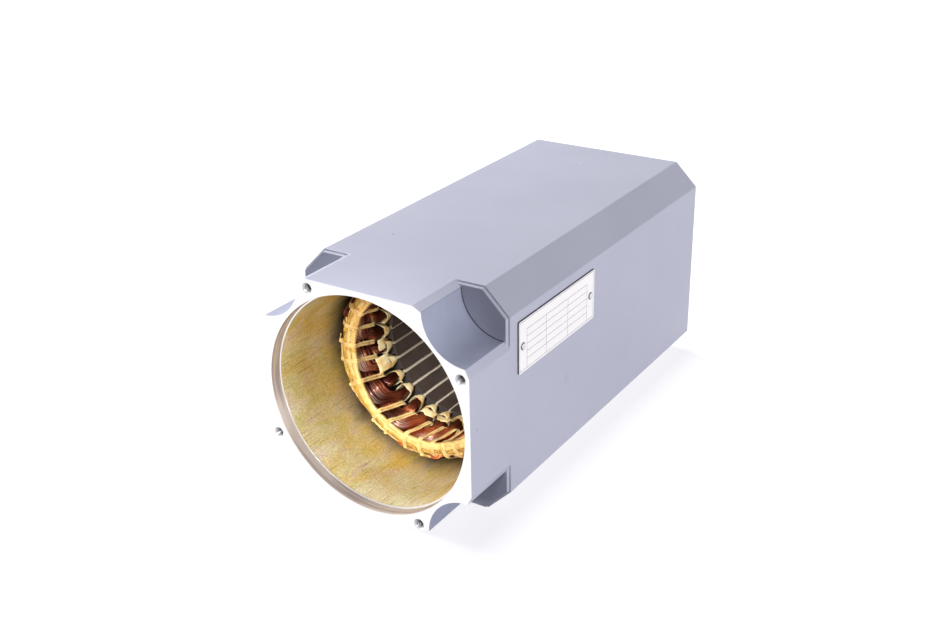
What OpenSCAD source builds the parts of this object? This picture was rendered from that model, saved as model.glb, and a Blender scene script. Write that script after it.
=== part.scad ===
// Electric motor stator: square aluminium housing, slotted core and laced winding.
// Millimetres. The motor axis lies along Y, the drive end faces -Y and Z is up.
// The origin is on the bottom face, under the middle of the housing.

/* [Housing] */
// Width and height of the square housing
frame_w = 155; // [148:0.5:165]
// Length of the housing between its machined ends
frame_l = 321; // [300:1:380]
// Leg of the chamfer along each long corner
corner_chamfer = 17; // [12:0.5:20]
// Thinnest wall, in the middle of each flat side
wall = 5; // [4:0.25:6.5]
// Step from the main bore out to the register at each end
register_step = 1; // [0.5:0.25:1.5]
// Depth of the register at each end
register_depth = 8; // [4:0.5:12]

/* [Corner pockets] */
// Axial length of the four pockets at the drive end
pocket_l = 43; // [30:1:55]
// Width of the sloped lip between a flat side and the pocket floor
pocket_lip_w = 6; // [3:0.5:9]
// Drop of the sloped lip below the flat side
pocket_lip_drop = 3; // [1.5:0.5:4.5]
// Thinnest wall between the pocket floor and the register
pocket_wall = 2.9; // [2:0.1:4]
// Height of the small step round the shoulder of a pocket
rim_step_h = 1.3; // [0.5:0.1:2]
// Axial length of that step
rim_step_l = 2.5; // [1:0.5:4]

/* [Tapped holes] */
// Drilled diameter of the four fixing holes in each end
hole_d = 5; // [4:0.1:6]
// Diameter of the countersunk mouth of a fixing hole
hole_mouth_d = 7.2; // [6.2:0.1:8.4]
// Depth of a fixing hole
hole_depth = 20; // [12:1:30]
// Distance of a front hole from the flat side beside it
hole_inset = 6; // [5:0.25:7]
// Distance of a front hole from the line where the pocket lip starts
hole_lip_gap = 1.5; // [1:0.1:5]
// Distance of a rear hole from both flat sides of its corner
rear_hole_inset = 17; // [14:0.5:19]

/* [Core] */
// Length of the lamination stack
core_l = 140; // [110:1:150]
// Distance of the core behind the drive end of the housing
core_setback = 101; // [90:1:110]
// Radial depth of the core, from its outside to the bore that the rotor turns in
core_depth = 21.4; // [20:0.1:24]
// Number of slots round the bore
slot_count = 30; // [30:2:32]
// Width of the parallel-sided teeth
tooth_w = 5.2; // [4.6:0.1:5.8]
// Radial depth of the ring of steel behind the slots
yoke = 8; // [7:0.25:9]
// Width of the slot mouth at the bore
slot_mouth_w = 2; // [1.4:0.1:2.6]
// Radial height of the tooth tips
tip_h = 1; // [0.8:0.1:1.3]
// Radial height over which a slot widens behind the tips
tip_taper = 1.4; // [1.1:0.1:1.7]

/* [Winding] */
// Thickness of the slot paper
paper_t = 0.4; // [0.3:0.05:0.5]
// Length of the paper cuff that stands out of each slot
cuff_l = 8; // [7:0.25:8.5]
// Extra thickness of the folded cuff
cuff_t = 0.8; // [0.5:0.1:1]
// Distance of the outer layer's lower edge in front of the core
turn_low = 14.5; // [14:0.25:15.5]
// How far the inner layer's lower edge stands above the outer layer's
turn_lift = 3.5; // [3:0.25:4.5]
// Distance of the inner layer's crest in front of the core
turn_top = 36; // [34:0.5:38]
// How far the outer layer's crest lies below the inner layer's
turn_drop = 6; // [4:0.5:7]
// Clear distance between the end turns and the housing bore
winding_gap = 3.9; // [3.4:0.1:4.4]
// Clear distance between the two layers of end turns
layer_gap = 0.8; // [0.6:0.1:1]
// How far each edge of the inner layer leans from its middle
layer_lean = 0.6; // [0.3:0.1:0.8]
// Thickness of one layer of end turns
turn_t = 6.2; // [5.6:0.1:6.4]
// Diameter of a sleeved connecting lead
lead_d = 3.6; // [2.8:0.1:4]
// Angle that each lead runs round the winding
lead_sweep = 318; // [270:1:330]
// Angle at which the first lead starts, from the nameplate side
lead_start = 96; // [60:1:120]
// Angle between the starts of neighbouring leads
lead_stagger = 10; // [0:1:15]
// Width of the flat lacing tape
tape_w = 3; // [2:0.1:3.6]
// Thickness of the lacing tape
tape_t = 0.6; // [0.4:0.05:0.9]

/* [Nameplate] */
// Length of the nameplate along the housing
plate_l = 98.5; // [80:0.5:120]
// Height of the nameplate
plate_h = 35.5; // [25:0.5:40]
// Thickness of the nameplate
plate_t = 0.8; // [0.5:0.1:1.5]
// Distance of the nameplate behind the drive end
plate_setback = 54; // [45:1:70]
// Height of the nameplate's lower edge above the motor axis
plate_rise = 18.5; // [10:0.5:22]

/* [Fits] */
// Clearance left between pieces that seat on each other
fit_gap = 0.1; // [0.05:0.01:0.15]

/* [Hidden] */
$fn = 96;
eps = 0.5;
half = frame_w / 2;
bore_r = half - wall;
register_r = bore_r + register_step;
front_z = frame_l / 2;

pocket_c = half - pocket_lip_drop;
pocket_r = pocket_c * sqrt(2) - register_r - pocket_wall;
lip_start = pocket_c - pocket_r - pocket_lip_w;
hole_x = half - hole_inset;
hole_y = lip_start - hole_lip_gap;
rear_hole_x = half - rear_hole_inset;

core_r = bore_r - fit_gap;
core_bore_r = core_r - core_depth;
core_front_z = front_z - core_setback;
core_rear_z = core_front_z - core_l;
core_mid_z = (core_front_z + core_rear_z) / 2;
pitch = 360 / slot_count;
tip_r = core_bore_r + tip_h;
slot_in_r = tip_r + tip_taper;
slot_out_r = core_r - yoke;
mouth_half = slot_mouth_w / 2;

// Half width of a slot at radius r, between parallel-sided teeth
function slot_half(r) = PI * r / slot_count - tooth_w / 2;

// Half width inside the paper at radius r
function packed_half(r) = slot_half(r) - paper_t - 2 * fit_gap;

leg_in_r = slot_in_r + 3 * fit_gap;
leg_out_r = slot_out_r - paper_t - 2 * fit_gap;
slot_mid_r = (leg_in_r + leg_out_r) / 2;
leg_half = (leg_out_r - leg_in_r) / 2;

// Radii of the two layers of end turns, from the bore wall inwards
outer_r = bore_r - winding_gap - turn_t / 2;
inner_r = outer_r - turn_t - layer_gap;

coil_count = slot_count / 2;
side = packed_half(slot_mid_r) / slot_mid_r * 180 / PI / pitch;
inner_low = turn_low + turn_lift;
outer_top = turn_top - turn_drop;
outer_h = outer_top - turn_low;
inner_h = turn_top - inner_low;

// Rows of an end turn. Each gives the lower edge of the bundle (slots along, radius,
// distance from the core), its upper edge, and its half thickness, squareness and widening.
slot_form = [leg_half, 0.8, PI / slot_count];
neck_form = [0.68 * turn_t, 0.6, 0];
turn_form = [turn_t / 2, 0.45, 0];
neck_r = (slot_mid_r + outer_r) / 2;
neck_w = 1.15 * cuff_l;
cross_r = (outer_r + inner_r) / 2;
low_in_r = inner_r - layer_lean;
top_in_r = inner_r + layer_lean;
end_rows = [
    [[side, slot_mid_r, 0], [-side, slot_mid_r, 0], slot_form],
    [[side, slot_mid_r, cuff_l], [-side, slot_mid_r, cuff_l], slot_form],
    [[side, slot_mid_r, neck_w], [-side, slot_mid_r, neck_w], slot_form],
    [[0.27, neck_r, 0.82 * turn_low], [-0.24, neck_r, 0.9 * turn_low], neck_form],
    [[0.45, outer_r - 0.3 * turn_t, turn_low],
     [-0.04, outer_r - 0.1 * turn_t, turn_low + 0.24 * outer_h], turn_form],
    [[0.75, outer_r, turn_low], [0.28, outer_r, turn_low + 0.72 * outer_h], turn_form],
    [[1.05, outer_r, turn_low], [0.85, outer_r, outer_top], turn_form],
    [[1.32, outer_r - 0.1 * turn_t, turn_low], [1.28, outer_r - 0.1 * turn_t, outer_top], turn_form],
    [[1.6, cross_r, turn_low + 0.5 * turn_lift], [1.58, cross_r, turn_top - 0.5 * turn_drop], turn_form],
    [[1.88, low_in_r + 0.1 * turn_t, inner_low], [1.86, top_in_r + 0.1 * turn_t, turn_top], turn_form],
    [[2.2, low_in_r, inner_low], [2.25, top_in_r, turn_top], turn_form],
    [[2.5, low_in_r, inner_low - 0.3 * turn_lift], [2.66, top_in_r, turn_top - 0.15 * inner_h], turn_form],
    [[2.64, low_in_r, turn_low], [2.98, inner_r, turn_low + 0.5 * outer_h], turn_form],
    [[2.72, slot_mid_r, 0.86 * turn_low], [3.2, slot_mid_r, turn_low + 0.08 * outer_h], neck_form],
    [[3 - side, slot_mid_r, neck_w], [3 + side, slot_mid_r, neck_w], slot_form],
    [[3 - side, slot_mid_r, cuff_l], [3 + side, slot_mid_r, cuff_l], slot_form],
    [[3 - side, slot_mid_r, 0], [3 + side, slot_mid_r, 0], slot_form]
];

// Smooth curve through the rows
function blend(a, b, c, d, t) =
    0.5 * ((2 * b) + (c - a) * t + (2 * a - 5 * b + 4 * c - d) * t * t
    + (3 * b - a - 3 * c + d) * t * t * t);
last_row = len(end_rows) - 1;
function row(i) = end_rows[max(0, min(last_row, i))];
function row_at(i, t) =
    [for (k = [0 : 2]) blend(row(i - 1)[k], row(i)[k], row(i + 1)[k], row(i + 2)[k], t)];
turn_rows = concat(
    [row(0), row(1), row(2)],
    [for (i = [3 : last_row - 4]) each [row_at(i, 0), row_at(i, 0.5)]],
    [for (i = [last_row - 3 : last_row]) row(i)]
);
turn_rings = len(turn_rows);

// Whole loop of a coil: front end turn, then the rear one run backwards
loop_rings = 2 * turn_rings;
function loop_row(i) = i < turn_rings ? turn_rows[i] : turn_rows[loop_rings - 1 - i];
function loop_z(i, w) = i < turn_rings ? core_front_z + w : core_rear_z - w;
function edge(i, k) =
    let (e = loop_row(i)[k], a = e[0] * pitch)
    [e[1] * cos(a), e[1] * sin(a), loop_z(i, e[2])];
function middle(i) = (edge(i, 0) + edge(i, 1)) / 2;
function unit(v) = v / norm(v);
function run(i) = middle((i + 1) % loop_rings) - middle((i + loop_rings - 1) % loop_rings);

// Eight corners of the bundle at ring i, across its thickness and from edge to edge
function ring(i) =
    let (
        f = loop_row(i)[2], a = f[0], q = f[1], s = f[2],
        rise = (edge(i, 1) - edge(i, 0)) / 2,
        up = unit(rise), h = norm(rise),
        m = middle(i),
        out = unit(s > 0 ? [m[0], m[1], 0] : cross(run(i), rise))
    )
    [
        for (c = [[a, -q], [a, q], [q * a, 1], [-q * a, 1], [-a, q], [-a, -q], [-q * a, -1], [q * a, -1]])
            m + c[0] * out + c[1] * (h + s * c[0]) * up
    ];

lead_w = turn_top + lead_d / 2 + 6 * fit_gap;
lead_gap = 1.06 * lead_d;
lead_r = top_in_r + 0.3 * lead_d;
lead_spots = [
    [lead_r - lead_gap, lead_w - 0.1 * lead_d],
    [lead_r, lead_w],
    [lead_r + lead_gap, lead_w - 0.4 * lead_d]
];

lace_top = lead_w + lead_d / 2 + 2 * fit_gap;
lace_low = turn_low - 14 * fit_gap;
lace_in_r = low_in_r - turn_t / 2 - 4 * fit_gap;
lace_out_r = outer_r + turn_t / 2 + 4 * fit_gap;

function coil_name(i) = str("coil_", i < 10 ? "0" : "", i);

// Turns a shape drawn with the axis on Z so that the axis lies along Y
module along_axis() {
    translate([0, 0, half])
        rotate([90, 0, 0])
            children();
}

// Places a winding detail at the front of the core, or its mirror image at the rear
module at_end(rear) {
    if (rear)
        translate([0, 0, core_rear_z])
            mirror([0, 0, 1])
                children();
    else
        translate([0, 0, core_front_z])
            children();
}

// Square section with chamfered corners
module octagon(h, c) {
    polygon([
        [h - c, -h], [h, c - h], [h, h - c], [h - c, h],
        [c - h, h], [-h, h - c], [-h, c - h], [c - h, -h]
    ]);
}

// One corner pocket with its sloped lips and stepped shoulder
module pocket() {
    cut_l = pocket_l + rim_step_l;
    out = half + eps;
    difference() {
        translate([0, 0, front_z - cut_l])
            union() {
                linear_extrude(cut_l + eps)
                    polygon([
                        [lip_start, half], [pocket_c - pocket_r, pocket_c],
                        [pocket_c, pocket_c - pocket_r], [half, lip_start],
                        [out, lip_start], [out, out], [lip_start, out]
                    ]);
                translate([pocket_c, pocket_c, 0])
                    cylinder(r = pocket_r, h = cut_l + eps);
            }
        translate([0, 0, front_z - cut_l - eps])
            linear_extrude(rim_step_l + eps)
                octagon(half - rim_step_h, corner_chamfer - rim_step_h * (2 - sqrt(2)));
    }
}

// One drilled fixing hole with a countersunk mouth, entering at z = 0
module fixing_hole() {
    translate([0, 0, -hole_depth])
        cylinder(d = hole_d, h = hole_depth + eps, $fn = 32);
    translate([0, 0, -(hole_mouth_d - hole_d) / 2])
        cylinder(d1 = hole_d, d2 = hole_mouth_d, h = (hole_mouth_d - hole_d) / 2, $fn = 32);
}

module housing() {
    color([0.72, 0.72, 0.78])
        along_axis()
            difference() {
                translate([0, 0, -front_z])
                    linear_extrude(frame_l)
                        octagon(half, corner_chamfer);
                translate([0, 0, -front_z - eps])
                    cylinder(r = bore_r, h = frame_l + 2 * eps);
                translate([0, 0, front_z - register_depth])
                    cylinder(r = register_r, h = register_depth + eps);
                translate([0, 0, -front_z - eps])
                    cylinder(r = register_r, h = register_depth + eps);
                for (k = [0 : 3])
                    rotate([0, 0, 90 * k]) {
                        pocket();
                        translate([hole_x, hole_y, front_z])
                            fixing_hole();
                        translate([rear_hole_x, rear_hole_x, -front_z])
                            rotate([180, 0, 0])
                                fixing_hole();
                    }
            }
}

module slot_shape() {
    polygon([
        [core_bore_r - eps, -mouth_half], [tip_r, -mouth_half],
        [slot_in_r, -slot_half(slot_in_r)], [slot_out_r, -slot_half(slot_out_r)],
        [slot_out_r, slot_half(slot_out_r)], [slot_in_r, slot_half(slot_in_r)],
        [tip_r, mouth_half], [core_bore_r - eps, mouth_half]
    ]);
}

module core() {
    color([0.32, 0.24, 0.21])
        along_axis()
            translate([0, 0, core_rear_z])
                difference() {
                    cylinder(r = core_r, h = core_l);
                    translate([0, 0, -eps])
                        cylinder(r = core_bore_r, h = core_l + 2 * eps);
                    for (k = [0 : slot_count - 1])
                        rotate([0, 0, k * pitch])
                            translate([0, 0, -eps])
                                linear_extrude(core_l + 2 * eps)
                                    slot_shape();
                }
}

// U-shaped paper section, its outside standing out by g from the slot wall
module paper_u(g) {
    a = slot_in_r + fit_gap;
    b = slot_out_r + g;
    c = slot_out_r - fit_gap - paper_t;
    t = fit_gap + paper_t;
    polygon([
        [a, slot_half(a) + g], [b, slot_half(b) + g],
        [b, -slot_half(b) - g], [a, -slot_half(a) - g],
        [a, t - slot_half(a)], [c, t - slot_half(c)],
        [c, slot_half(c) - t], [a, slot_half(a) - t]
    ]);
}

module slot_liners() {
    color([0.9, 0.84, 0.66])
        along_axis()
            for (k = [0 : slot_count - 1])
                rotate([0, 0, k * pitch])
                    union() {
                        translate([0, 0, core_rear_z - cuff_l])
                            linear_extrude(core_l + 2 * cuff_l)
                                paper_u(-fit_gap);
                        for (rear = [false, true])
                            at_end(rear)
                                translate([0, 0, fit_gap])
                                    linear_extrude(cuff_l - fit_gap)
                                        paper_u(cuff_t);
                    }
}

module slot_wedges() {
    a = tip_r + 2 * fit_gap;
    b = slot_in_r;
    color([0.93, 0.88, 0.74])
        along_axis()
            for (k = [0 : slot_count - 1])
                rotate([0, 0, k * pitch])
                    translate([0, 0, core_rear_z - cuff_l])
                        linear_extrude(core_l + 2 * cuff_l)
                            polygon([
                                [a, -mouth_half], [b, 3 * fit_gap - slot_half(b)],
                                [b, slot_half(b) - 3 * fit_gap], [a, mouth_half]
                            ]);
}

// One coil, wound through slot 2i - 2 and the slot three further on
module coil(i) {
    points = [for (k = [0 : loop_rings - 1]) each ring(k)];
    faces = [
        for (k = [0 : loop_rings - 1])
            for (j = [0 : 7])
                let (n = (k + 1) % loop_rings, m = (j + 1) % 8)
                each [
                    [8 * k + j, 8 * k + m, 8 * n + m],
                    [8 * k + j, 8 * n + m, 8 * n + j]
                ]
    ];
    color([0.43, 0.18, 0.11])
        along_axis()
            rotate([0, 0, 2 * (i - 1) * pitch])
                polyhedron(points = points, faces = faces, convexity = 6);
}

// Papers between an inner end turn and the neck of the next coil behind it
module phase_papers(rear) {
    span = pitch - (tape_w + 4 * fit_gap) / lace_in_r * 180 / PI;
    shelf_w = inner_low - 8 * fit_gap;
    flap_w = neck_w + 4 * fit_gap;
    flap_r = tip_r + tip_taper / 2;
    color([0.9, 0.84, 0.66])
        along_axis()
            at_end(rear)
                for (k = [0 : coil_count - 1])
                    rotate([0, 0, 2 * k * pitch - span / 2])
                        rotate_extrude(angle = span)
                            polygon([
                                [flap_r - paper_t, flap_w], [flap_r, flap_w],
                                [lace_in_r, shelf_w - paper_t], [low_in_r, shelf_w - paper_t],
                                [low_in_r, shelf_w], [lace_in_r - paper_t, shelf_w]
                            ]);
}

// Sleeved leads laid round the crest of the end winding
module leads(rear) {
    color([0.93, 0.8, 0.5])
        along_axis()
            at_end(rear)
                for (k = [0 : len(lead_spots) - 1])
                    rotate([0, 0, lead_start + k * lead_stagger])
                        rotate_extrude(angle = lead_sweep)
                            translate(lead_spots[k])
                                circle(d = lead_d, $fn = 24);
}

// Outline that a loop of tape follows round the end winding, grown by g
module lace_outline(g) {
    polygon([
        [lace_in_r - g, lace_low - g],
        [lace_out_r + g, lace_low - g],
        [lace_out_r + g, outer_top + g / 2],
        [lead_r + lead_gap + 0.7 * lead_d + g, lead_w - 0.25 * lead_d + g / 2],
        [lead_r + lead_gap + g / 2, lace_top + g],
        [lead_r - 1.45 * lead_d - g / 2, lace_top + g],
        [lead_r - 1.72 * lead_d - g, lead_w - 0.4 * lead_d]
    ]);
}

module lacing(rear) {
    color([0.95, 0.88, 0.68])
        along_axis()
            at_end(rear)
                for (k = [0 : slot_count - 1])
                    rotate([90, 0, (k + 0.5) * pitch])
                        linear_extrude(tape_w, center = true)
                            difference() {
                                lace_outline(tape_t);
                                lace_outline(0);
                            }
}

module nameplate() {
    color([0.92, 0.92, 0.93])
        translate([half, plate_setback - front_z, half + plate_rise])
            cube([plate_t, plate_l, plate_h]);
}

housing();
core();
slot_liners();
slot_wedges();
for (i = [1 : coil_count])
    coil(i);
phase_papers(false);  // front_phase_papers
phase_papers(true);  // rear_phase_papers
leads(false);  // front_leads
leads(true);  // rear_leads
lacing(false);  // front_lacing
lacing(true);  // rear_lacing
nameplate();
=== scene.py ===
# %% [markdown]
# # Stator of a square servo motor
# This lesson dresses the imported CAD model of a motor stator. The real thing is a grey painted
# aluminium housing, open at the drive end, with a slotted steel core pressed into its bore and
# a laced copper winding. The CAD model is the frame: nothing in it is moved, and every new
# piece is made in metres in the same place. The motor axis lies along Y, the drive end faces -Y.

import math
import random

import bpy
from mathutils import Matrix, Vector


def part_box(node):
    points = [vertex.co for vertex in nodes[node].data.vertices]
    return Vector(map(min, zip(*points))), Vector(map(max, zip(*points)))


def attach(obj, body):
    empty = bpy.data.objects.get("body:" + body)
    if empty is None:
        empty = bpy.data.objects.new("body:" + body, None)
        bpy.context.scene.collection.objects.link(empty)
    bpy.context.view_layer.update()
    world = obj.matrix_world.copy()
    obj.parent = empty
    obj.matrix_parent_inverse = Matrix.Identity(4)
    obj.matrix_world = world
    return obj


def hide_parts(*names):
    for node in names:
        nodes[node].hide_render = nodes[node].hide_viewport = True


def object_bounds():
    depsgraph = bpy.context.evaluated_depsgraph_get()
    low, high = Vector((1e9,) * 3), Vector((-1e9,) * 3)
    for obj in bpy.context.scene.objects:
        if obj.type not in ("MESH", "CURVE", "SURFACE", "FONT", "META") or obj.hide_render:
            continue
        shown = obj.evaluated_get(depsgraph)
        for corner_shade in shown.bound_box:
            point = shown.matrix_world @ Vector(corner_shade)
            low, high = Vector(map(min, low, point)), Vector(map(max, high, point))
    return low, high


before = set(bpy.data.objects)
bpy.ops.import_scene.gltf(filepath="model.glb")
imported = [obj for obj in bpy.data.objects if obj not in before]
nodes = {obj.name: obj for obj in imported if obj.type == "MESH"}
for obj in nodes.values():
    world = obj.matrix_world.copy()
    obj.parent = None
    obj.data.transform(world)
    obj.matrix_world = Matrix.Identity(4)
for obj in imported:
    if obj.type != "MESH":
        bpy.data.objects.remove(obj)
cad_low, cad_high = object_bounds()
print("CAD nodes:", len(nodes), "box in mm:", [round(1000 * x, 1) for x in cad_high - cad_low])

# %% [markdown]
# ## Camera
# The camera stands where the photographer's did. Its place was found by matching the corners of
# the housing, so its three axes are written out instead of aiming it at a point by eye.

# %% Camera at the photograph's angle
IMAGE_W = 950
FOCAL_PX = 1243.19
SENSOR_MM = 36
CAMERA_AT = (0.41996, -0.68569, 0.44534)
CAMERA_TURN = (32.7437, 24.7, -1.0443)     # azimuth, elevation and roll in degrees
azimuth, elevation, roll = (math.radians(a) for a in CAMERA_TURN)
level = Vector((math.cos(azimuth), math.sin(azimuth), 0))
back = Vector((math.sin(azimuth) * math.cos(elevation),
               -math.cos(azimuth) * math.cos(elevation), math.sin(elevation)))
rise = back.cross(level)
across = level * math.cos(roll) + rise * math.sin(roll)
upright = rise * math.cos(roll) - level * math.sin(roll)
bpy.ops.object.select_all(action="DESELECT")
bpy.ops.object.camera_add()
camera = bpy.context.object
camera.data.sensor_width = SENSOR_MM
camera.data.lens = FOCAL_PX / IMAGE_W * SENSOR_MM
camera.data.clip_start = 0.05
axes = Matrix((across, upright, back)).transposed().to_4x4()
camera.matrix_world = Matrix.Translation(CAMERA_AT) @ axes
bpy.context.scene.camera = camera
print("lens in mm:", round(camera.data.lens, 2))

# %% [markdown]
# ## Colours and shader nodes
# Colours are picked as sRGB hex values, the way a paint chart gives them, and the renderer wants
# linear light, so one function converts them. Another adds a shader node with its settings and
# links, which keeps every material below a short list of what its surface is made of.

# %% Helpers for materials
MM = 0.001
RGBA = {"data_type": "RGBA"}                              # mixes two colours
TINT = {"data_type": "RGBA", "blend_type": "MULTIPLY"}    # lays a colour over another like a glaze
SMOOTH = {"interpolation_type": "SMOOTHSTEP"}             # a range with soft ends
SUM = {"operation": "ADD", "use_clamp": True}             # a sum that stops at 1


def colour(code):
    channels = [int(code[i:i + 2], 16) / 255 for i in (0, 2, 4)]
    return [c / 12.92 if c <= 0.04045 else ((c + 0.055) / 1.055) ** 2.4 for c in channels] + [1]


def plug(tree, node, inputs):
    """Sets or links a node's inputs. A node given as a value stands for its first output in use."""
    for name, value in inputs.items():
        if isinstance(value, bpy.types.Node):
            value = next(socket for socket in value.outputs if socket.enabled)
        if isinstance(value, bpy.types.NodeSocket):
            tree.links.new(value, node.inputs[name])
        else:
            node.inputs[name].default_value = value


def put(tree, kind, settings=(), inputs=()):
    node = tree.nodes.new("ShaderNode" + kind)
    for name, value in dict(settings).items():
        setattr(node, name, value)
    plug(tree, node, dict(inputs))
    return node


def start(name, **values):
    """A new material: its node tree, its shader, and the object coordinates."""
    material = bpy.data.materials.new(name)
    material.use_nodes = True
    tree = material.node_tree
    shader = tree.nodes["Principled BSDF"]
    plug(tree, shader, {key.replace("_", " "): value for key, value in values.items()})
    print("finish:", name)
    return material, tree, shader, put(tree, "TexCoord").outputs["Object"]


print("white in linear light:", colour("ffffff")[:3])

# %% [markdown]
# ## Studio
# The photograph has a pure white ground with only a faint, bluish shadow. The world lights the
# object softly, and is plain white where the camera or a reflection looks at it. The floor gives
# the camera most of its white by itself, so that the shadow on it stays pale.

# %% White world
FILL = 0.13        # strength of the world as a light


def looked_at(tree):
    """1 where the camera, a reflection or glass looks, and 0 for light on its way."""
    path = put(tree, "LightPath")
    seen = put(tree, "Math", SUM, {0: path.outputs["Is Camera Ray"], 1: path.outputs["Is Glossy Ray"]})
    return put(tree, "Math", SUM, {0: seen, 1: path.outputs["Is Transmission Ray"]})


scene = bpy.context.scene
scene.view_settings.view_transform = "Standard"
scene.world = bpy.data.worlds.new("white_tent")
scene.world.use_nodes = True
tree = scene.world.node_tree
strength = put(tree, "Mix", {"data_type": "FLOAT"}, {0: looked_at(tree), 2: FILL, 3: 1.0})
plug(tree, tree.nodes["Background"], {"Color": colour("ffffff"), "Strength": strength})
print("world fill:", FILL)

# %% Floor that keeps a pale shadow
FLOOR_M = 12
FOOT = (0.0775, 0.1605, 0)           # half the width and half the length of the object, in metres
FOOT_SHADE_GLOW, FAR_GLOW = 0.86, 1.05     # the glow dimmed at the foot as painted shade round the object, and the full glow away from it
SHADE_M = 0.03                       # how far from the foot the glow is dimmed as painted shade, which lets the shadow show
bpy.ops.object.select_all(action="DESELECT")
bpy.ops.mesh.primitive_plane_add(size=FLOOR_M)
floor = bpy.context.object
floor.name = "floor"
paper_floor = bpy.data.materials.new("white_paper_sweep")
paper_floor.use_nodes = True
tree = paper_floor.node_tree
tree.nodes.clear()
bounce = put(tree, "BsdfDiffuse", {}, {"Color": colour("9b9b9e")})
shown = put(tree, "BsdfDiffuse", {}, {"Color": colour("81807c")})
away = put(tree, "VectorMath", {"operation": "ABSOLUTE"}, {0: put(tree, "TexCoord").outputs["Object"]})
away = put(tree, "VectorMath", {"operation": "SUBTRACT"}, {0: away, 1: FOOT})
away = put(tree, "VectorMath", {"operation": "MAXIMUM"}, {0: away, 1: (0, 0, 0)})
away = put(tree, "VectorMath", {"operation": "LENGTH"}, {0: away})
# painted shade: the paper's glow is dimmed close to the foot, so it is darker round the object
white = put(tree, "MapRange", {}, {"Value": away, "From Min": 0.0, "From Max": SHADE_M,
                                   "To Min": FOOT_SHADE_GLOW, "To Max": FAR_GLOW})
glow = put(tree, "Emission", {}, {"Color": colour("fbfaff"), "Strength": white})
lit = put(tree, "AddShader", {}, {0: shown, 1: glow})
both = put(tree, "MixShader", {}, {0: looked_at(tree), 1: bounce, 2: lit})
put(tree, "OutputMaterial", {}, {"Surface": both})
floor.data.materials.append(paper_floor)
print("floor of", FLOOR_M, "m, with room for a shadow of", SHADE_M, "m")

# %% Soft lamps
LAMPS = {
    "left_softbox": {"place": (-1.45, 0.1, 1.5), "aim": (0, 0, 0.1), "size": 1.2, "power": 56},
    "low_left_softbox": {"place": (-1.7, -0.25, 0.35), "aim": (0, -0.1, 0.1), "size": 0.6, "power": 8},
    "right_softbox": {"place": (1.9, -0.1, 0.12), "aim": (0.05, 0, 0.1), "size": 0.5, "power": 36},
}


def hang(kind, name, place, run, power):
    """Adds a lamp at a place in metres that shines along a direction, with its power in watts."""
    bpy.ops.object.light_add(type=kind, location=place)
    lamp = bpy.context.object
    lamp.name = name
    lamp.data.energy = power
    lamp.rotation_euler = run.to_track_quat("-Z", "Y").to_euler()
    return lamp


for name, lamp in LAMPS.items():
    run = Vector(lamp["aim"]) - Vector(lamp["place"])
    hang("AREA", name, lamp["place"], run, lamp["power"]).data.size = lamp["size"]
print("lamps:", ", ".join(LAMPS))

# %% [markdown]
# ## Light in the bore
# In the photograph light reaches past the winding, deep into the open end. Soft lamps leave the
# bore black, so a narrow spot lamp shines in from the front. A small disk just outside the mouth
# stands for what the white surroundings send in, and neither the camera nor a reflection sees it.

# %% A narrow lamp into the bore
SNOOT_AT, SNOOT_AIM = (0.3, -1.25, 0.7), (-0.018, -0.105, 0.050)
SNOOT_WATTS, SNOOT_DEGREES = 176, 4.6
run = Vector(SNOOT_AIM) - Vector(SNOOT_AT)
snoot = hang("SPOT", "bore_snoot", SNOOT_AT, run, SNOOT_WATTS)
snoot.data.shadow_soft_size = 0.06
snoot.data.spot_size = math.radians(SNOOT_DEGREES)
snoot.data.spot_blend = 0.5
print("spot in the bore, mm wide:", round(run.length * snoot.data.spot_size / MM))

# %% Light that falls in through the open end
MOUTH_AT, MOUTH_RUN = (0.012, -0.166, 0.092), (-0.25, 0.8, -0.55)
MOUTH_M, MOUTH_WATTS = 0.10, 0.064
mouth = hang("AREA", "bore_mouth_light", MOUTH_AT, Vector(MOUTH_RUN), MOUTH_WATTS)
mouth.data.shape = "DISK"
mouth.data.size = MOUTH_M
mouth.visible_camera = mouth.visible_glossy = False
print("disk before the mouth, mm wide:", round(MOUTH_M / MM))

# %% [markdown]
# ## Sizes that the pieces share
# The core's ends and the motor axis are read from the frame, so the winding made here sits on
# the core wherever the CAD puts it. A place in the winding is given the way a winder would: how
# many slots round, how far from the axis, and how far out of the core.

# %% Where the core and the axis are
core_low, core_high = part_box("core")
CORE_FRONT, CORE_REAR = core_low.y, core_high.y
AXIS_Z = (core_low.z + core_high.z) / 2
SLOTS = 30
PITCH = 2 * math.pi / SLOTS
END_FRONT, END_REAR = cad_low.y, cad_high.y


def spot(turn, radius, out, rear=False):
    """Slots round, mm from the axis and mm out of the core, as a point in the frame."""
    angle = turn * PITCH
    y = CORE_REAR + out * MM if rear else CORE_FRONT - out * MM
    return Vector((radius * MM * math.cos(angle), y, AXIS_Z + radius * MM * math.sin(angle)))


def turned(angle):
    """Matrix that turns a piece about the motor axis, from +X towards +Z."""
    lift = Matrix.Translation((0, 0, AXIS_Z))
    return lift @ Matrix.Rotation(-angle, 4, "Y") @ lift.inverted()


print("core from, to, and height of the axis in mm:",
      [round(x / MM, 1) for x in (CORE_FRONT, CORE_REAR, AXIS_Z)])

# %% [markdown]
# ## Working on one object at a time
# Operators act on everything that is selected, and the loaded CAD nodes start out selected. These
# helpers select one object, edit it, and close a finished mesh: doubles merged, faces turned
# outwards, and smooth shading up to a set angle.

# %% Helpers for meshes
MERGE_MM = 0.002   # points closer than this are one


def pick(*objects):
    if bpy.context.object and bpy.context.object.mode != "OBJECT":
        bpy.ops.object.mode_set(mode="OBJECT")
    bpy.ops.object.select_all(action="DESELECT")
    for each in objects:
        each.select_set(True)
    bpy.context.view_layer.objects.active = objects[0]
    return objects[0]


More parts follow.
